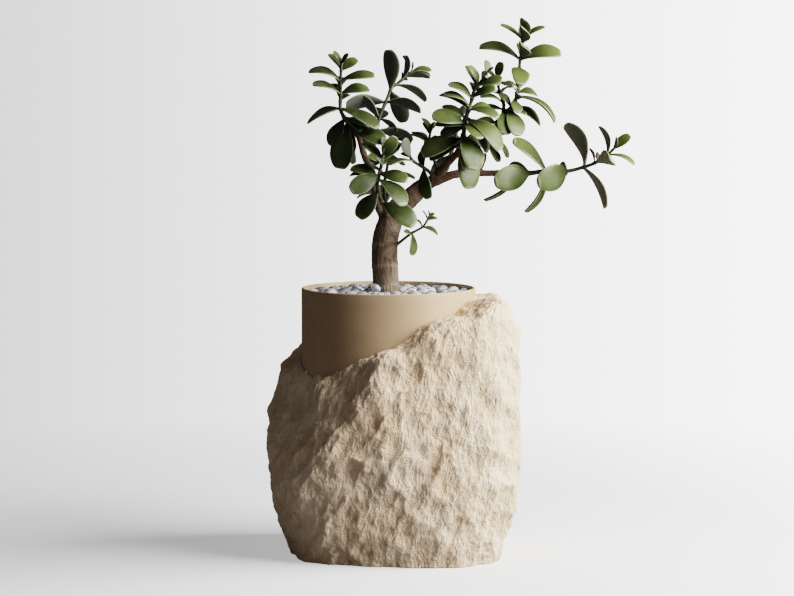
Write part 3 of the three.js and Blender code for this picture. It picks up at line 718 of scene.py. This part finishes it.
def grown_wood():
    """Fuses the rods into one body, then raises the old leaf rings and sinks the furrows of the bark."""
    lines, marks = wood_lines()
    for stem in STEMS.values():
        route = Route(stem["route"])
        distances = np.arange(0, stem["woody"] + TWIG_STEP, TWIG_STEP)
        if stem["woody"] > SHORTEST_TWIG:
            radii = np.full(len(distances), stem["thick"][0] + TWIG_EXTRA)
            lines.append(([route.at(d) for d in distances], radii))
            marks += [(route.at(d), d, route.across(d)) for d in distances]
    wood = placed("trunk_and_limbs", path_mesh("trunk_and_limbs", lines))
    shape_with(wood, rod_tree(), {"Sides": WOOD_SIDES})
    fused = wood.modifiers.new("fused", "REMESH")
    fused.mode = "VOXEL"
    fused.voxel_size = WOOD_GRAIN
    soft = wood.modifiers.new("soft crotches", "SMOOTH")
    soft.iterations = 6
    soft.factor = 0.6
    worked_in(wood)

    tree = kdtree.KDTree(len(marks))
    for i, mark in enumerate(marks):
        tree.insert(Vector(mark[0]), i)
    tree.balance()
    mesh = wood.data
    count = len(mesh.vertices)
    along, around = np.zeros(count, np.float32), np.zeros(count, np.float32)
    normals = np.array([v.normal for v in mesh.vertices])
    for i, vertex in enumerate(mesh.vertices):
        _, found, _ = tree.find(vertex.co)
        middle, distance, (ahead, side, away) = marks[found]
        out = np.array(vertex.co) - middle
        along[i] = distance + out @ ahead
        around[i] = math.atan2(out @ away, out @ side)
    marked(mesh, "along", along)
    marked(mesh, "around", around)
    waver = RING_WAVER * np.sin(3 * around + 90 * along)
    phase = (along + waver) / RING_EVERY
    ring = np.exp(-((phase - np.round(phase)) * RING_SHARPNESS) ** 2)
    (few, many), (slow, quick) = FURROWS["round"], FURROWS["along"]
    furrow = np.sin(few * around + 3 * np.sin(along * slow)) * np.sin(many * around + along * quick + 1.3)
    lift = RING_HEIGHT * ring + FURROW_DEPTH * (furrow - 1) / 2
    places = np.array([v.co for v in mesh.vertices]) + normals * lift[:, None]
    mesh.vertices.foreach_set("co", places.astype(np.float32).ravel())
    marked(mesh, "ring", ring)
    mesh.update()
    mesh.shade_smooth()
    return wood


def bark():
    material, tree, shader = surface("jade bark", roughness=0.8, specular=0.25)
    place = object_place(tree)
    along, around = attribute(tree, "along"), attribute(tree, "around")
    wrapped = node(tree, "ShaderNodeCombineXYZ", {
        0: times(tree, maths(tree, "SINE", around), 0.012),
        1: times(tree, maths(tree, "COSINE", around), 0.012),
        2: times(tree, along, 0.13),
    }).outputs[0]
    old, worn, raw = (0.075, 0.048, 0.03, 1), (0.225, 0.165, 0.115, 1), (0.19, 0.105, 0.07, 1)
    body = tinted(tree, mottled(tree, wrapped, 0.0034, 3.0, 0.3, 0.7), old, worn)
    streaks = mottled(tree, wrapped, 0.0011, 3.0, 0.45, 0.7)
    body = tinted(tree, times(tree, streaks, 0.5), body, (0.06, 0.04, 0.022, 1))
    height = node(tree, "ShaderNodeSeparateXYZ", {0: place}).outputs[2]
    young = ranged(tree, height, rim + 0.055, rim + 0.11)
    warmed = tinted(tree, times(tree, young, 0.55), body, raw)
    ringed = tinted(tree, times(tree, attribute(tree, "ring"), 0.45), warmed, (0.27, 0.2, 0.15, 1))
    tree.links.new(ringed, shader.inputs["Base Color"])
    bumped(tree, shader, mottled(tree, wrapped, 0.0012, 6.0, 0.2, 0.8), 0.0006)
    return material


# Leafy stems
# Green shoots that go on from the wood. Each carries thick, waxy leaves in opposite pairs, most of them
# turned to the light, with pale rounded edges and paler undersides. The leaves are grown onto the stem.

# route: points from the wood outwards. woody: how far the brown twig goes. thick: radius at foot and tip.
# sunward: how far the leaves face the light. leaves: distance along, turn round the stem, opening and length
# of one leaf, then the opening and length of the one opposite it (0 and 0 where there is none) and how far
# both face the light where that isn't the stem's sunward. A turn of 90 is away from the front.
# Many rows of leaves are not chosen by hand: a search fitted them to the leaves seen from the front.
STEMS = {
    "stem_left": {
        "route": (
            (-0.031, -0.002, 0.157), (-0.043, -0.006, 0.172), (-0.049, -0.008, 0.184), (-0.049, -0.01, 0.199),
            (-0.049, -0.012, 0.212), (-0.048, -0.015, 0.231),
        ),
        "woody": 0.002,
        "thick": (0.0025, 0.0014),
        "sunward": 0.5,
        "leaves": (
            (0.008, -58, 128, 0.042), (0.009, 165, 130, 0.03), (0.018, 195, 133, 0.05),
            (0.012, 89, 160, 0.034), (0.023, 170, 123, 0.034, 140, 0.028),
            (0.034, 155, 105, 0.041, 122, 0.047), (0.042, 85, 85, 0.03), (0.049, 200, 70, 0.033, 84, 0.032),
            (0.056, 95, 75, 0.026), (0.063, 178, 79, 0.035, 80, 0.037), (0.074, 121, 64, 0.028),
            (0.073, 32, 55, 0.022), (0.079, 165, 35, 0.017, 28, 0.015), (0.013, 166, 148, 0.042, 0, 0, -1.2),
            (0.025, -27, 155, 0.032), (0.048, 118, 64, 0.021),
        ),
    },
    "stem_middle": {
        "route": (
            (-0.019, 0.003, 0.124), (-0.014, 0.016, 0.152), (-0.01, 0.026, 0.173), (-0.002, 0.036, 0.193),
            (0.003, 0.041, 0.205), (0.009, 0.044, 0.21), (0.025, 0.05, 0.223),
        ),
        "woody": 0.008,
        "thick": (0.0026, 0.0013),
        "sunward": 0,
        "leaves": (
            (0.042, 190, 95, 0.03), (0.056, 176, 60, 0.033, 110, 0.024, -0.26), (0.066, 90, 85, 0.03),
            (0.076, 176, 118, 0.043, 0, 0, -0.65), (0.09, 40, 119, 0.04, 0, 0, -0.37),
            (0.099, 1, 62, 0.038, 0, 0, -0.12), (0.106, 95, 60, 0.022), (0.115, 160, 60, 0.024, 48, 0.025),
            (0.12, 185, 40, 0.012), (0.108, -158, 46, 0.027), (0.113, -31, 41, 0.027),
            (0.042, 20, 90, 0.042, 0, 0, -0.18), (0.076, -16, 88, 0.04, 0, 0, -0.2),
            (0.09, -146, 35, 0.044, 0, 0, -0.15), (0.12, 29, 29, 0.025, 0, 0, 0.65),
        ),
    },
    "stem_sprig": {
        "route": (
            (0.052, 0, 0.118), (0.046, 0.008, 0.135), (0.042, 0.012, 0.148), (0.044, 0.013, 0.164),
        ),
        "woody": 0.009,
        "thick": (0.002, 0.0012),
        "sunward": 0.5,
        "leaves": (
            (0.022, 150, 70, 0.014), (0.034, 160, 60, 0.024, 50, 0.012), (0.043, 140, 45, 0.017, 16, 0.014),
            (0.036, 137, 66, 0.027), (0.047, 137, 49, 0.019), (0.047, 45, 26, 0.012),
        ),
    },
    "stem_front": {
        "route": (
            (0, 0, 0.07), (-0.003, -0.018, 0.082), (-0.009, -0.028, 0.096), (-0.011, -0.033, 0.11),
            (-0.007, -0.033, 0.128), (-0.004, -0.03, 0.144),
        ),
        "woody": 0.016,
        "thick": (0.0026, 0.0014),
        "sunward": 0.85,
        "leaves": (
            (0.045, -153, 120, 0.035), (0.062, -143, 123, 0.038, 0, 0, 0.84), (0.058, -49, 113, 0.049),
            (0.08, -148, 119, 0.017, 0, 0, 1.2), (0.064, -23, 90, 0.033, 0, 0, 1.09), (0.06, 155, 98, 0.032),
            (0.069, 255, 60, 0.015), (0.077, 150, 60, 0.032), (0.078, 30, 35, 0.029),
            (0.083, 95, 25, 0.014, 30, 0.012), (0.061, 169, 87, 0.031), (0.031, -61, 117, 0.045, 0, 0, 0.07),
            (0.074, 61, 80, 0.039), (0.083, -53, 32, 0.025), (0.085, 174, 9, 0.018), (0.074, -158, 72, 0.018),
        ),
    },
    "stem_crown": {
        "route": (
            (0.047, 0, 0.113), (0.041, -0.012, 0.121), (0.032, -0.018, 0.127), (0.025, -0.022, 0.132),
            (0.02, -0.025, 0.14),
        ),
        "woody": 0.009,
        "thick": (0.0022, 0.0013),
        "sunward": 0.5,
        "leaves": (
            (0.022, -140, 117, 0.034, 70, 0.02, 0.14), (0.036, -161, 43, 0.03, 0, 0, 0.2),
            (0.041, -42, 15, 0.024, 45, 0.012, 0.44),
        ),
    },
    "stem_centre": {
        "route": (
            (0.073, -0.012, 0.144), (0.077, -0.016, 0.158), (0.078, -0.02, 0.171), (0.082, -0.02, 0.183),
            (0.085, -0.02, 0.193), (0.088, -0.02, 0.204), (0.094, -0.02, 0.212), (0.101, -0.02, 0.222),
        ),
        "woody": 0.002,
        "thick": (0.0028, 0.0012),
        "sunward": 0.65,
        "leaves": (
            (0.008, -48, 141, 0.052, 0, 0, 1.3), (0.006, 180, 133, 0.038, 123, 0.028),
            (0.01, 200, 124, 0.046, 100, 0.028), (0.014, -70, 118, 0.048), (0.025, 170, 92, 0.03, 110, 0.043),
            (0.028, 200, 83, 0.038), (0.026, -60, 100, 0.034), (0.042, 160, 82, 0.036),
            (0.043, 40, 86, 0.036), (0.054, 200, 75, 0.03, 60, 0.028), (0.06, 95, 65, 0.022),
            (0.067, 140, 65, 0.028), (0.068, 32, 46, 0.027), (0.075, 100, 40, 0.014, 60, 0.012),
            (0.083, 120, 45, 0.018, 30, 0.012), (0.054, 164, 72, 0.03), (0.045, -162, 84, 0.032),
            (0.032, 159, 79, 0.029), (0.023, 174, 114, 0.027), (0.015, -67, 133, 0.041),
            (0.032, -13, 114, 0.05), (0.056, -17, 60, 0.027), (0.07, -40, 45, 0.029), (0.042, -21, 88, 0.034),
            (0.07, -164, 71, 0.023), (0.035, -7, 131, 0.043),
        ),
    },
    "stem_tall": {
        "route": (
            (0.1, 0.02, 0.138), (0.108, 0.026, 0.155), (0.116, 0.03, 0.171), (0.121, 0.033, 0.18),
            (0.127, 0.034, 0.184), (0.132, 0.036, 0.192), (0.135, 0.036, 0.203), (0.136, 0.036, 0.216),
            (0.137, 0.036, 0.234), (0.139, 0.034, 0.25), (0.14, 0.032, 0.263),
        ),
        "woody": 0.002,
        "thick": (0.0026, 0.0013),
        "sunward": 0.55,
        "leaves": (
            (0.006, -112, 64, 0.028, 60, 0.02), (0.009, -30, 128, 0.024, 60, 0.014), (0.013, 185, 110, 0.026),
            (0.022, -20, 125, 0.031, 100, 0.026), (0.032, 150, 95, 0.026), (0.042, -78, 139, 0.032),
            (0.053, -45, 108, 0.026), (0.057, 18, 77, 0.039, 85, 0.021, 1.05), (0.066, -90, 70, 0.018),
            (0.071, -5, 109, 0.05, 0, 0, 0.18), (0.075, 35, 88, 0.026, 75, 0.024), (0.078, 90, 58, 0.042),
            (0.109, 180, 80, 0.046, 76, 0.045), (0.111, -92, 64, 0.036, 66, 0.028), (0.125, 90, 55, 0.026),
            (0.13, 173, 60, 0.029, 0, 0, 0.16), (0.133, -93, 40, 0.028, 25, 0.015),
            (0.051, -52, 119, 0.037, 0, 0, 1.3), (0.101, -92, 120, 0.037), (0.078, -151, 71, 0.018),
            (0.066, -80, 121, 0.025), (0.055, -44, 111, 0.04, 0, 0, 1.3), (0.127, -94, 54, 0.031),
            (0.13, -3, 56, 0.028, 0, 0, 0.31),
        ),
        "side": {
            "route": (
                (0.119, 0.032, 0.177), (0.12, 0.033, 0.189), (0.116, 0.034, 0.201), (0.112, 0.034, 0.218),
            ),
            "thick": (0.002, 0.0012),
            "sunward": 0.45,
            "leaves": (
                (0.006, 165, 100, 0.028, 95, 0.026), (0.012, 200, 70, 0.028),
                (0.022, -50, 85, 0.022, 75, 0.022), (0.031, 100, 50, 0.018, 60, 0.016),
                (0.038, 0, 29, 0.02, 35, 0.016),
            ),
        },
    },
    "stem_right": {
        "route": (
            (0.128, 0.008, 0.118), (0.147, 0.008, 0.118), (0.162, 0.007, 0.12), (0.184, 0.006, 0.12),
            (0.201, 0.006, 0.124), (0.214, 0.004, 0.129), (0.226, 0.002, 0.137), (0.234, 0.001, 0.145),
        ),
        "woody": 0.002,
        "thick": (0.0028, 0.0013),
        "sunward": 0.15,
        "leaves": (
            (0.007, 7, 141, 0.047, 0, 0, 0.15), (0.018, -83, 136, 0.054, 125, 0.038, 0.3),
            (0.035, -3, 120, 0.049, 0, 0, 0.19), (0.056, -83, 128, 0.054, 102, 0.03),
            (0.074, -8, 79, 0.05, 0, 0, -0.43), (0.075, 154, 99, 0.054, 0, 0, -0.95),
            (0.088, -85, 62, 0.038, 90, 0.028), (0.102, -17, 58, 0.032, 0, 0, 0.38),
            (0.11, 41, 9, 0.024, 36, 0.016, 0.37), (0.086, 170, 84, 0.017, 0, 0, -1),
            (0.035, -153, 132, 0.051, 0, 0, 0.07), (0.102, 180, 69, 0.032, 0, 0, -0.98),
        ),
    },
    "stem_low": {
        "route": (
            (-0.002, 0, 0.036), (0.009, -0.006, 0.045), (0.023, -0.008, 0.056), (0.035, -0.009, 0.063),
            (0.04, -0.01, 0.07), (0.043, -0.01, 0.076),
        ),
        "woody": 0.017,
        "thick": (0.0018, 0.001),
        "sunward": 0.4,
        "leaves": (
            (0.035, -31, 120, 0.025), (0.034, 242, 108, 0.013), (0.047, 20, 66, 0.019, 88, 0.011),
            (0.056, 38, 56, 0.012, 60, 0.014), (0.06, 50, 45, 0.008, 43, 0.008),
        ),
    },
    "stem_back_left": {
        "route": (
            (0.002, 0.002, 0.07), (-0.004, 0.02, 0.09), (-0.004, 0.034, 0.108), (-0.001, 0.04, 0.125),
            (0.002, 0.042, 0.146), (0.003, 0.042, 0.16),
        ),
        "woody": 0.018,
        "thick": (0.0023, 0.0012),
        "sunward": 0.2,
        "leaves": (
            (0.034, 200, 110, 0.032, 105, 0.034), (0.048, 95, 105, 0.034), (0.058, 185, 85, 0.032, 85, 0.032),
            (0.07, 90, 75, 0.028, 60, 0.02), (0.082, 190, 60, 0.026, 60, 0.026),
            (0.096, 95, 40, 0.018, 40, 0.015),
        ),
    },
    "stem_back_right": {
        "route": (
            (0.056, -0.002, 0.123), (0.063, 0.01, 0.134), (0.068, 0.022, 0.147), (0.072, 0.03, 0.164),
            (0.076, 0.034, 0.181),
        ),
        "woody": 0.009,
        "thick": (0.0023, 0.0012),
        "sunward": 0.2,
        "leaves": (
            (0.022, 100, 120, 0.032), (0.032, 170, 95, 0.032, 100, 0.028), (0.046, 92, 85, 0.03),
            (0.056, 185, 70, 0.027, 60, 0.022), (0.066, 100, 45, 0.018, 40, 0.016),
        ),
    },
}
LEAF = {
    "width": 0.58, "thickness": 0.1, "thinnest": 0.0018, "neck": 0.1, "widest": 0.6, "cup": 0.1,
    "arch_flat": 0.04, "arch_open": 0.1, "tip_roundness": 2.2, "neck_slimness": 1.25,
}
LIGHT = np.array((0.45, -0.7, 0.55))
STEM_STEP = 0.0012
STEM_SIDES = 12
JOINT_SWELL = (0.16, 0.0016)  # how much a stem swells where a pair of leaves clasps it, and over what length


def draw(seed):
    """A repeatable draw from 0 to 1."""
    wave = math.sin(seed * 127.1 + 311.7) * 43758.5453
    return wave - math.floor(wave)


def between(low, high, seed):
    return low + (high - low) * draw(seed)


def leaf_facts(route, distance, turn, opening, length, sunward, seed):
    """Where one leaf stands, which way it points and faces, and its own sizes."""
    along, side, away = route.across(distance)
    turn, opening = math.radians(turn), math.radians(opening)
    outward = side * math.cos(turn) + away * math.sin(turn)
    chord = along * math.cos(opening) + outward * math.sin(opening)
    face = along * math.sin(opening) - outward * math.cos(opening)
    light = LIGHT - chord * (LIGHT @ chord)
    light /= np.linalg.norm(light)
    share = sunward * between(0.6, 1.4, seed)
    face = face * (1 - share) + light * share
    face /= np.linalg.norm(face)
    arch = LEAF["arch_flat"] + LEAF["arch_open"] * math.sin(opening) ** 2
    return {
        "foot": route.at(distance),
        "chord": chord,
        "face": face,
        "cross": np.cross(chord, face),
        "length": length,
        "arch": arch * between(0.7, 1.4, seed + 0.31) * length,
        "half_width": LEAF["width"] / 2 * length * between(0.92, 1.08, seed + 0.57),
        "half_thick": max(LEAF["thinnest"], LEAF["thickness"] * length) / 2,
        "bend": between(-0.05, 0.05, seed + 0.83) * length,
        "tone": draw(seed + 0.71),
        "youth": distance / route.length,
    }


def stem_parts(stem, seed):
    """The line of a stem with its radii, and the facts of its leaves. A side stem's follow on."""
    route = Route(stem["route"])
    start = stem.get("woody", 0) * 0.9
    distances = np.arange(start, route.length, STEM_STEP)
    foot, tip = stem["thick"]
    radii = foot + (tip - foot) * distances / route.length
    swell, swell_length = JOINT_SWELL
    leaves = []
    for pair, (distance, turn, opening, length, *more) in enumerate(stem["leaves"]):
        other_opening, other_length = more[:2] or (0, 0)
        facing = more[2] if len(more) > 2 else stem["sunward"]
        first = seed + 2 * pair
        leaves.append(leaf_facts(route, distance, turn, opening, length, facing, first))
        if other_length:
            other = leaf_facts(route, distance, turn + 180, other_opening, other_length, facing, first + 1)
            leaves.append(other)
        radii = radii * (1 + swell * np.exp(-(((distances - distance) / swell_length) ** 2)))
    lines = [([route.at(d) for d in distances], radii)]
    if "side" in stem:
        more_lines, more_leaves = stem_parts(stem["side"], seed + 50)
        lines += more_lines
        leaves += more_leaves
    return lines, leaves


def stem_cloud(name, lines, leaves):
    """One mesh with the stem's line and a loose point for each leaf, which carries the leaf's facts."""
    mesh = path_mesh(name, lines)
    on_line = len(mesh.vertices)
    mesh.vertices.add(len(leaves))
    total = len(mesh.vertices)
    places = np.zeros((total, 3), np.float32)
    mesh.vertices.foreach_get("co", places.ravel())
    places[on_line:] = [leaf["foot"] for leaf in leaves]
    mesh.vertices.foreach_set("co", places.ravel())
    is_leaf = mesh.attributes.new("is_leaf", "BOOLEAN", "POINT")
    is_leaf.data.foreach_set("value", np.arange(total) >= on_line)
    for fact in leaves[0]:
        known = np.array([leaf[fact] for leaf in leaves])
        values = np.zeros((total, *known.shape[1:]), np.float32)
        values[on_line:] = known
        marked(mesh, fact, values)
    return placed(name, mesh)


def half_width(u):
    """A leaf's half width at this share of its length, as a share of its greatest."""
    if u > LEAF["widest"]:
        past = (u - LEAF["widest"]) / (1 - LEAF["widest"])
        return math.sqrt(max(0.0, 1 - past ** LEAF["tip_roundness"]))
    grown = math.sin(math.pi / 2 * u / LEAF["widest"])
    return LEAF["neck"] + (1 - LEAF["neck"]) * grown ** LEAF["neck_slimness"]


LEAF_STATIONS = (0.0, 0.06, 0.17, 0.31, 0.46, 0.6, 0.74, 0.86, 0.945, 0.972)
LEAF_ROUND = 10


def leaf_cage():
    """A plain leaf of few faces. Its points carry their share of the length, width and thickness."""
    stations, faces = [], []
    for u in LEAF_STATIONS:
        for k in range(LEAF_ROUND):
            angle = 2 * math.pi * k / LEAF_ROUND
            stations.append((u, math.cos(angle), math.sin(angle), half_width(u)))
    for ring in range(len(LEAF_STATIONS) - 1):
        for k in range(LEAF_ROUND):
            a, b = ring * LEAF_ROUND + k, ring * LEAF_ROUND + (k + 1) % LEAF_ROUND
            faces.append((a, b, b + LEAF_ROUND, a + LEAF_ROUND))
    last = (len(LEAF_STATIONS) - 1) * LEAF_ROUND
    faces.append(tuple(range(LEAF_ROUND))[::-1])
    faces.append(tuple(range(last, last + LEAF_ROUND)))
    mesh = bpy.data.meshes.new("leaf_cage")
    mesh.from_pydata([(u, across, over) for u, across, over, _ in stations], [], faces)
    for i, name in enumerate(("u", "across", "over", "wide")):
        marked(mesh, name, [station[i] for station in stations])
    return placed("leaf_cage", mesh)


def leafy_tree():
    """Grows the rods of a stem along its line, and a leaf on each loose point as the facts there say."""
    inputs = {"Leaf": "NodeSocketObject", "Sides": "NodeSocketInt", "Cup": "NodeSocketFloat",
              "Leaf Finish": "NodeSocketMaterial", "Stem Finish": "NodeSocketMaterial"}
    tree, given, end = shaping_tree("leafy stem", inputs)
    parted = node(tree, "GeometryNodeSeparateGeometry", {
        "Geometry": given["Geometry"], "Selection": named(tree, "is_leaf", "BOOLEAN"),
    }).outputs
    stalk = node(tree, "GeometryNodeSetMaterial", {
        "Geometry": rods(tree, parted["Inverted"], given["Sides"]), "Material": given["Stem Finish"],
    }).outputs[0]

    cage = node(tree, "GeometryNodeObjectInfo", {"Object": given["Leaf"]}).outputs["Geometry"]
    on_points = node(tree, "GeometryNodeInstanceOnPoints", {"Points": parted["Selection"], "Instance": cage})
    leaves = node(tree, "GeometryNodeRealizeInstances", {"Geometry": on_points.outputs[0]}).outputs[0]
    u, across, over, wide = (named(tree, name) for name in ("u", "across", "over", "wide"))
    reach = scaled(tree, named(tree, "chord", "FLOAT_VECTOR"), times(tree, u, named(tree, "length")))
    out = times(tree, across, wide, named(tree, "half_width"))
    bend = times(tree, u, u, named(tree, "bend"))
    aside = scaled(tree, named(tree, "cross", "FLOAT_VECTOR"), plus(tree, out, bend))
    arched = times(tree, u, maths(tree, "SUBTRACT", 1.0, u), 4.0, named(tree, "arch"))
    plump = maths(tree, "MULTIPLY_ADD", wide, 0.35, 0.65)
    thick = times(tree, over, plump, named(tree, "half_thick"))
    lifted = times(tree, maths(tree, "ABSOLUTE", out), maths(tree, "ABSOLUTE", across), given["Cup"])
    rise = plus(tree, arched, plus(tree, thick, lifted))
    up = scaled(tree, named(tree, "face", "FLOAT_VECTOR"), rise)
    place = summed(tree, named(tree, "foot", "FLOAT_VECTOR"), reach, aside, up)
    grown = node(tree, "GeometryNodeSetPosition", {"Geometry": leaves, "Position": place}).outputs[0]
    rounded = node(tree, "GeometryNodeSubdivisionSurface", {"Mesh": grown, "Level": 1}).outputs[0]
    waxed = {"Geometry": rounded, "Material": given["Leaf Finish"]}
    blades = node(tree, "GeometryNodeSetMaterial", waxed).outputs[0]

    both = node(tree, "GeometryNodeJoinGeometry")
    for part in (blades, stalk):
        tree.links.new(part, both.inputs[0])
    smooth = node(tree, "GeometryNodeSetShadeSmooth", {"Geometry": both.outputs[0]})
    tree.links.new(smooth.outputs[0], end)
    return tree


def waxy_leaf():
    material, tree, shader = surface("waxy leaf", roughness=0.36, specular=0.24)
    place = object_place(tree)
    tone, youth, u = (attribute(tree, name) for name in ("tone", "youth", "u"))
    across, over = attribute(tree, "across"), attribute(tree, "over")
    deep_and_shaded_green, fresh_and_lit_green = (0.018, 0.026, 0.005, 1), (0.09, 0.115, 0.026, 1)
    own = plus(tree, times(tree, tone, 0.45), times(tree, youth, 0.35))
    # Painted light: leaves further to the right are mixed towards the fresh, lit green, and leaves further to
    # the left towards the deep, shaded green, because the light falls from the right. The leaf's own tone and
    # age are added to this.
    rightward = node(tree, "ShaderNodeSeparateXYZ", {0: place}).outputs[0]
    tone_and_painted_light = plus(tree, own, ranged(tree, rightward, -0.02, 0.09, -0.4, 0.15))
    # Painted shade: each leaf's upper face is darker at its foot and lighter towards its tip.
    share = plus(tree, tone_and_painted_light, ranged(tree, u, 0.1, 0.9, -0.4, 0.25))
    upper = tinted(tree, share, deep_and_shaded_green, fresh_and_lit_green)
    # Painted highlight: the outer part of each leaf's upper face is tinted paler towards the tip.
    tip_highlight = times(tree, ranged(tree, u, 0.55, 1.0), 0.3)
    upper = tinted(tree, tip_highlight, upper, (0.16, 0.185, 0.075, 1))
    cloudy = times(tree, mottled(tree, place, 0.009), 0.25)
    upper = tinted(tree, cloudy, upper, (0.12, 0.14, 0.05, 1))
    under = tinted(tree, tone, (0.12, 0.125, 0.1, 1), (0.2, 0.2, 0.16, 1))
    body = tinted(tree, ranged(tree, over, -0.15, 0.05), under, upper)
    side = ranged(tree, maths(tree, "ABSOLUTE", across), 0.86, 0.95)
    edge = maths(tree, "MAXIMUM", side, ranged(tree, u, 0.935, 0.97))
    edged = tinted(tree, times(tree, edge, 0.8), body, (0.42, 0.46, 0.28, 1))
    tree.links.new(edged, shader.inputs["Base Color"])
    rough = ranged(tree, mottled(tree, place, 0.004), 0.0, 1.0, 0.32, 0.44)
    tree.links.new(rough, shader.inputs["Roughness"])
    shader.inputs["Subsurface Weight"].default_value = 0.12
    shader.inputs["Subsurface Radius"].default_value = (0.35, 0.6, 0.15)
    shader.inputs["Subsurface Scale"].default_value = 0.002
    bumped(tree, shader, mottled(tree, place, 0.003, 2.0, 0.2, 0.8), 0.00006)
    return material


def green_stem():
    material, tree, shader = surface("green stem", roughness=0.5)
    place = object_place(tree)
    body = tinted(tree, mottled(tree, place, 0.006), (0.022, 0.028, 0.009, 1), (0.06, 0.07, 0.022, 1))
    tree.links.new(body, shader.inputs["Base Color"])
    bumped(tree, shader, mottled(tree, place, 0.0015), 0.0002)
    return material


trunk = grown_wood()
trunk.data.materials.append(bark())
finished(trunk, "wood", "trunk")

cage = leaf_cage()
growing = leafy_tree()
leaf_finish, stem_finish = waxy_leaf(), green_stem()
for number, (name, stem) in enumerate(STEMS.items(), start=1):
    lines, leaves = stem_parts(stem, 100 * number)
    shoot = stem_cloud(name.replace("stem", "shoot"), lines, leaves)
    shape_with(shoot, growing, {
        "Leaf": cage, "Sides": STEM_SIDES, "Cup": LEAF["cup"],
        "Leaf Finish": leaf_finish, "Stem Finish": stem_finish,
    })
    worked_in(shoot)
    finished(shoot, "leaf", name)
bpy.data.objects.remove(cage)


# Floor, light and camera
# A pale studio floor that fades into the background, a broad soft light from the right, and the photo's
# viewpoint. None of it is part of the object.
FLOOR_REACH = 2.2
FLOOR_EDGE = (0.45, 1.1)  # where the floor begins to fade and where it has gone
CAMERA = {"place": (0.0089, -2.732, 0.4948), "pitch": -4.83, "lens": 120}
KEY = {"place": (1.76, -0.36, 1.2), "size": (2.1, 1.5), "power": 170}
FLOOR_SOLID = 0.76  # how much of the floor's own light and shadow shows
ROOM_TONE = (-0.145, 2.175)  # brightness of the room from left to right, as powers of two
ROOM_GLOW = 0.07
LIT_POINT = (0.02, 0, 0.28)


def studio_floor():
    bm = bmesh.new()
    bmesh.ops.create_circle(bm, cap_ends=True, segments=96, radius=FLOOR_REACH)
    floor = built("studio_floor", bm)
    material, tree, shader = surface("studio floor", roughness=0.9, specular=0.1)
    looking = node(tree, "ShaderNodeLightPath").outputs["Is Camera Ray"]
    tone = tinted(tree, looking, (0.22, 0.22, 0.22, 1), (0.9, 0.9, 0.9, 1))
    tree.links.new(tone, shader.inputs["Base Color"])
    far = node(tree, "ShaderNodeVectorMath", {0: object_place(tree)}, operation="LENGTH").outputs["Value"]
    tree.links.new(ranged(tree, far, *FLOOR_EDGE, FLOOR_SOLID, 0.0), shader.inputs["Alpha"])
    floor.data.materials.append(material)


def lamp(name, place, size, power):
    data = bpy.data.lights.new(name, "AREA")
    data.shape = "RECTANGLE"
    data.size, data.size_y = size
    data.energy = power
    light = bpy.data.objects.new(name, data)
    light.location = place
    aim = Vector(LIT_POINT) - Vector(place)
    light.rotation_euler = aim.to_track_quat("-Z", "Y").to_euler()
    bpy.context.scene.collection.objects.link(light)


def studio_air():
    """The room beyond the floor: pale to look at, brighter to the right, with little light of its own."""
    world = bpy.data.worlds.new("studio air")
    world.use_nodes = True
    tree = world.node_tree
    tree.nodes.clear()
    outward = node(tree, "ShaderNodeTexCoord").outputs["Generated"]
    rightward = node(tree, "ShaderNodeSeparateXYZ", {0: outward}).outputs[0]
    tone = maths(tree, "POWER", 2.0, ranged(tree, rightward, -0.2, 0.2, *ROOM_TONE))
    seen = node(tree, "ShaderNodeBackground", {"Color": (1, 1, 1, 1), "Strength": tone}).outputs[0]
    felt = node(tree, "ShaderNodeBackground", {"Color": (1, 1, 1, 1), "Strength": ROOM_GLOW}).outputs[0]
    looking = node(tree, "ShaderNodeLightPath").outputs["Is Camera Ray"]
    both = node(tree, "ShaderNodeMixShader", {0: looking, 1: felt, 2: seen}).outputs[0]
    end = tree.nodes.new("ShaderNodeOutputWorld")
    tree.links.new(both, end.inputs["Surface"])
    bpy.context.scene.world = world


studio_floor()
studio_air()
lamp("key", **KEY)
bpy.context.scene.view_settings.view_transform = "Filmic"
bpy.context.scene.view_settings.look = "Medium High Contrast"
lens = bpy.data.cameras.new("camera")
lens.lens = CAMERA["lens"]
camera = bpy.data.objects.new("camera", lens)
camera.location = CAMERA["place"]
camera.rotation_euler = (math.radians(90 + CAMERA["pitch"]), 0, 0)
bpy.context.scene.collection.objects.link(camera)
bpy.context.scene.camera = camera
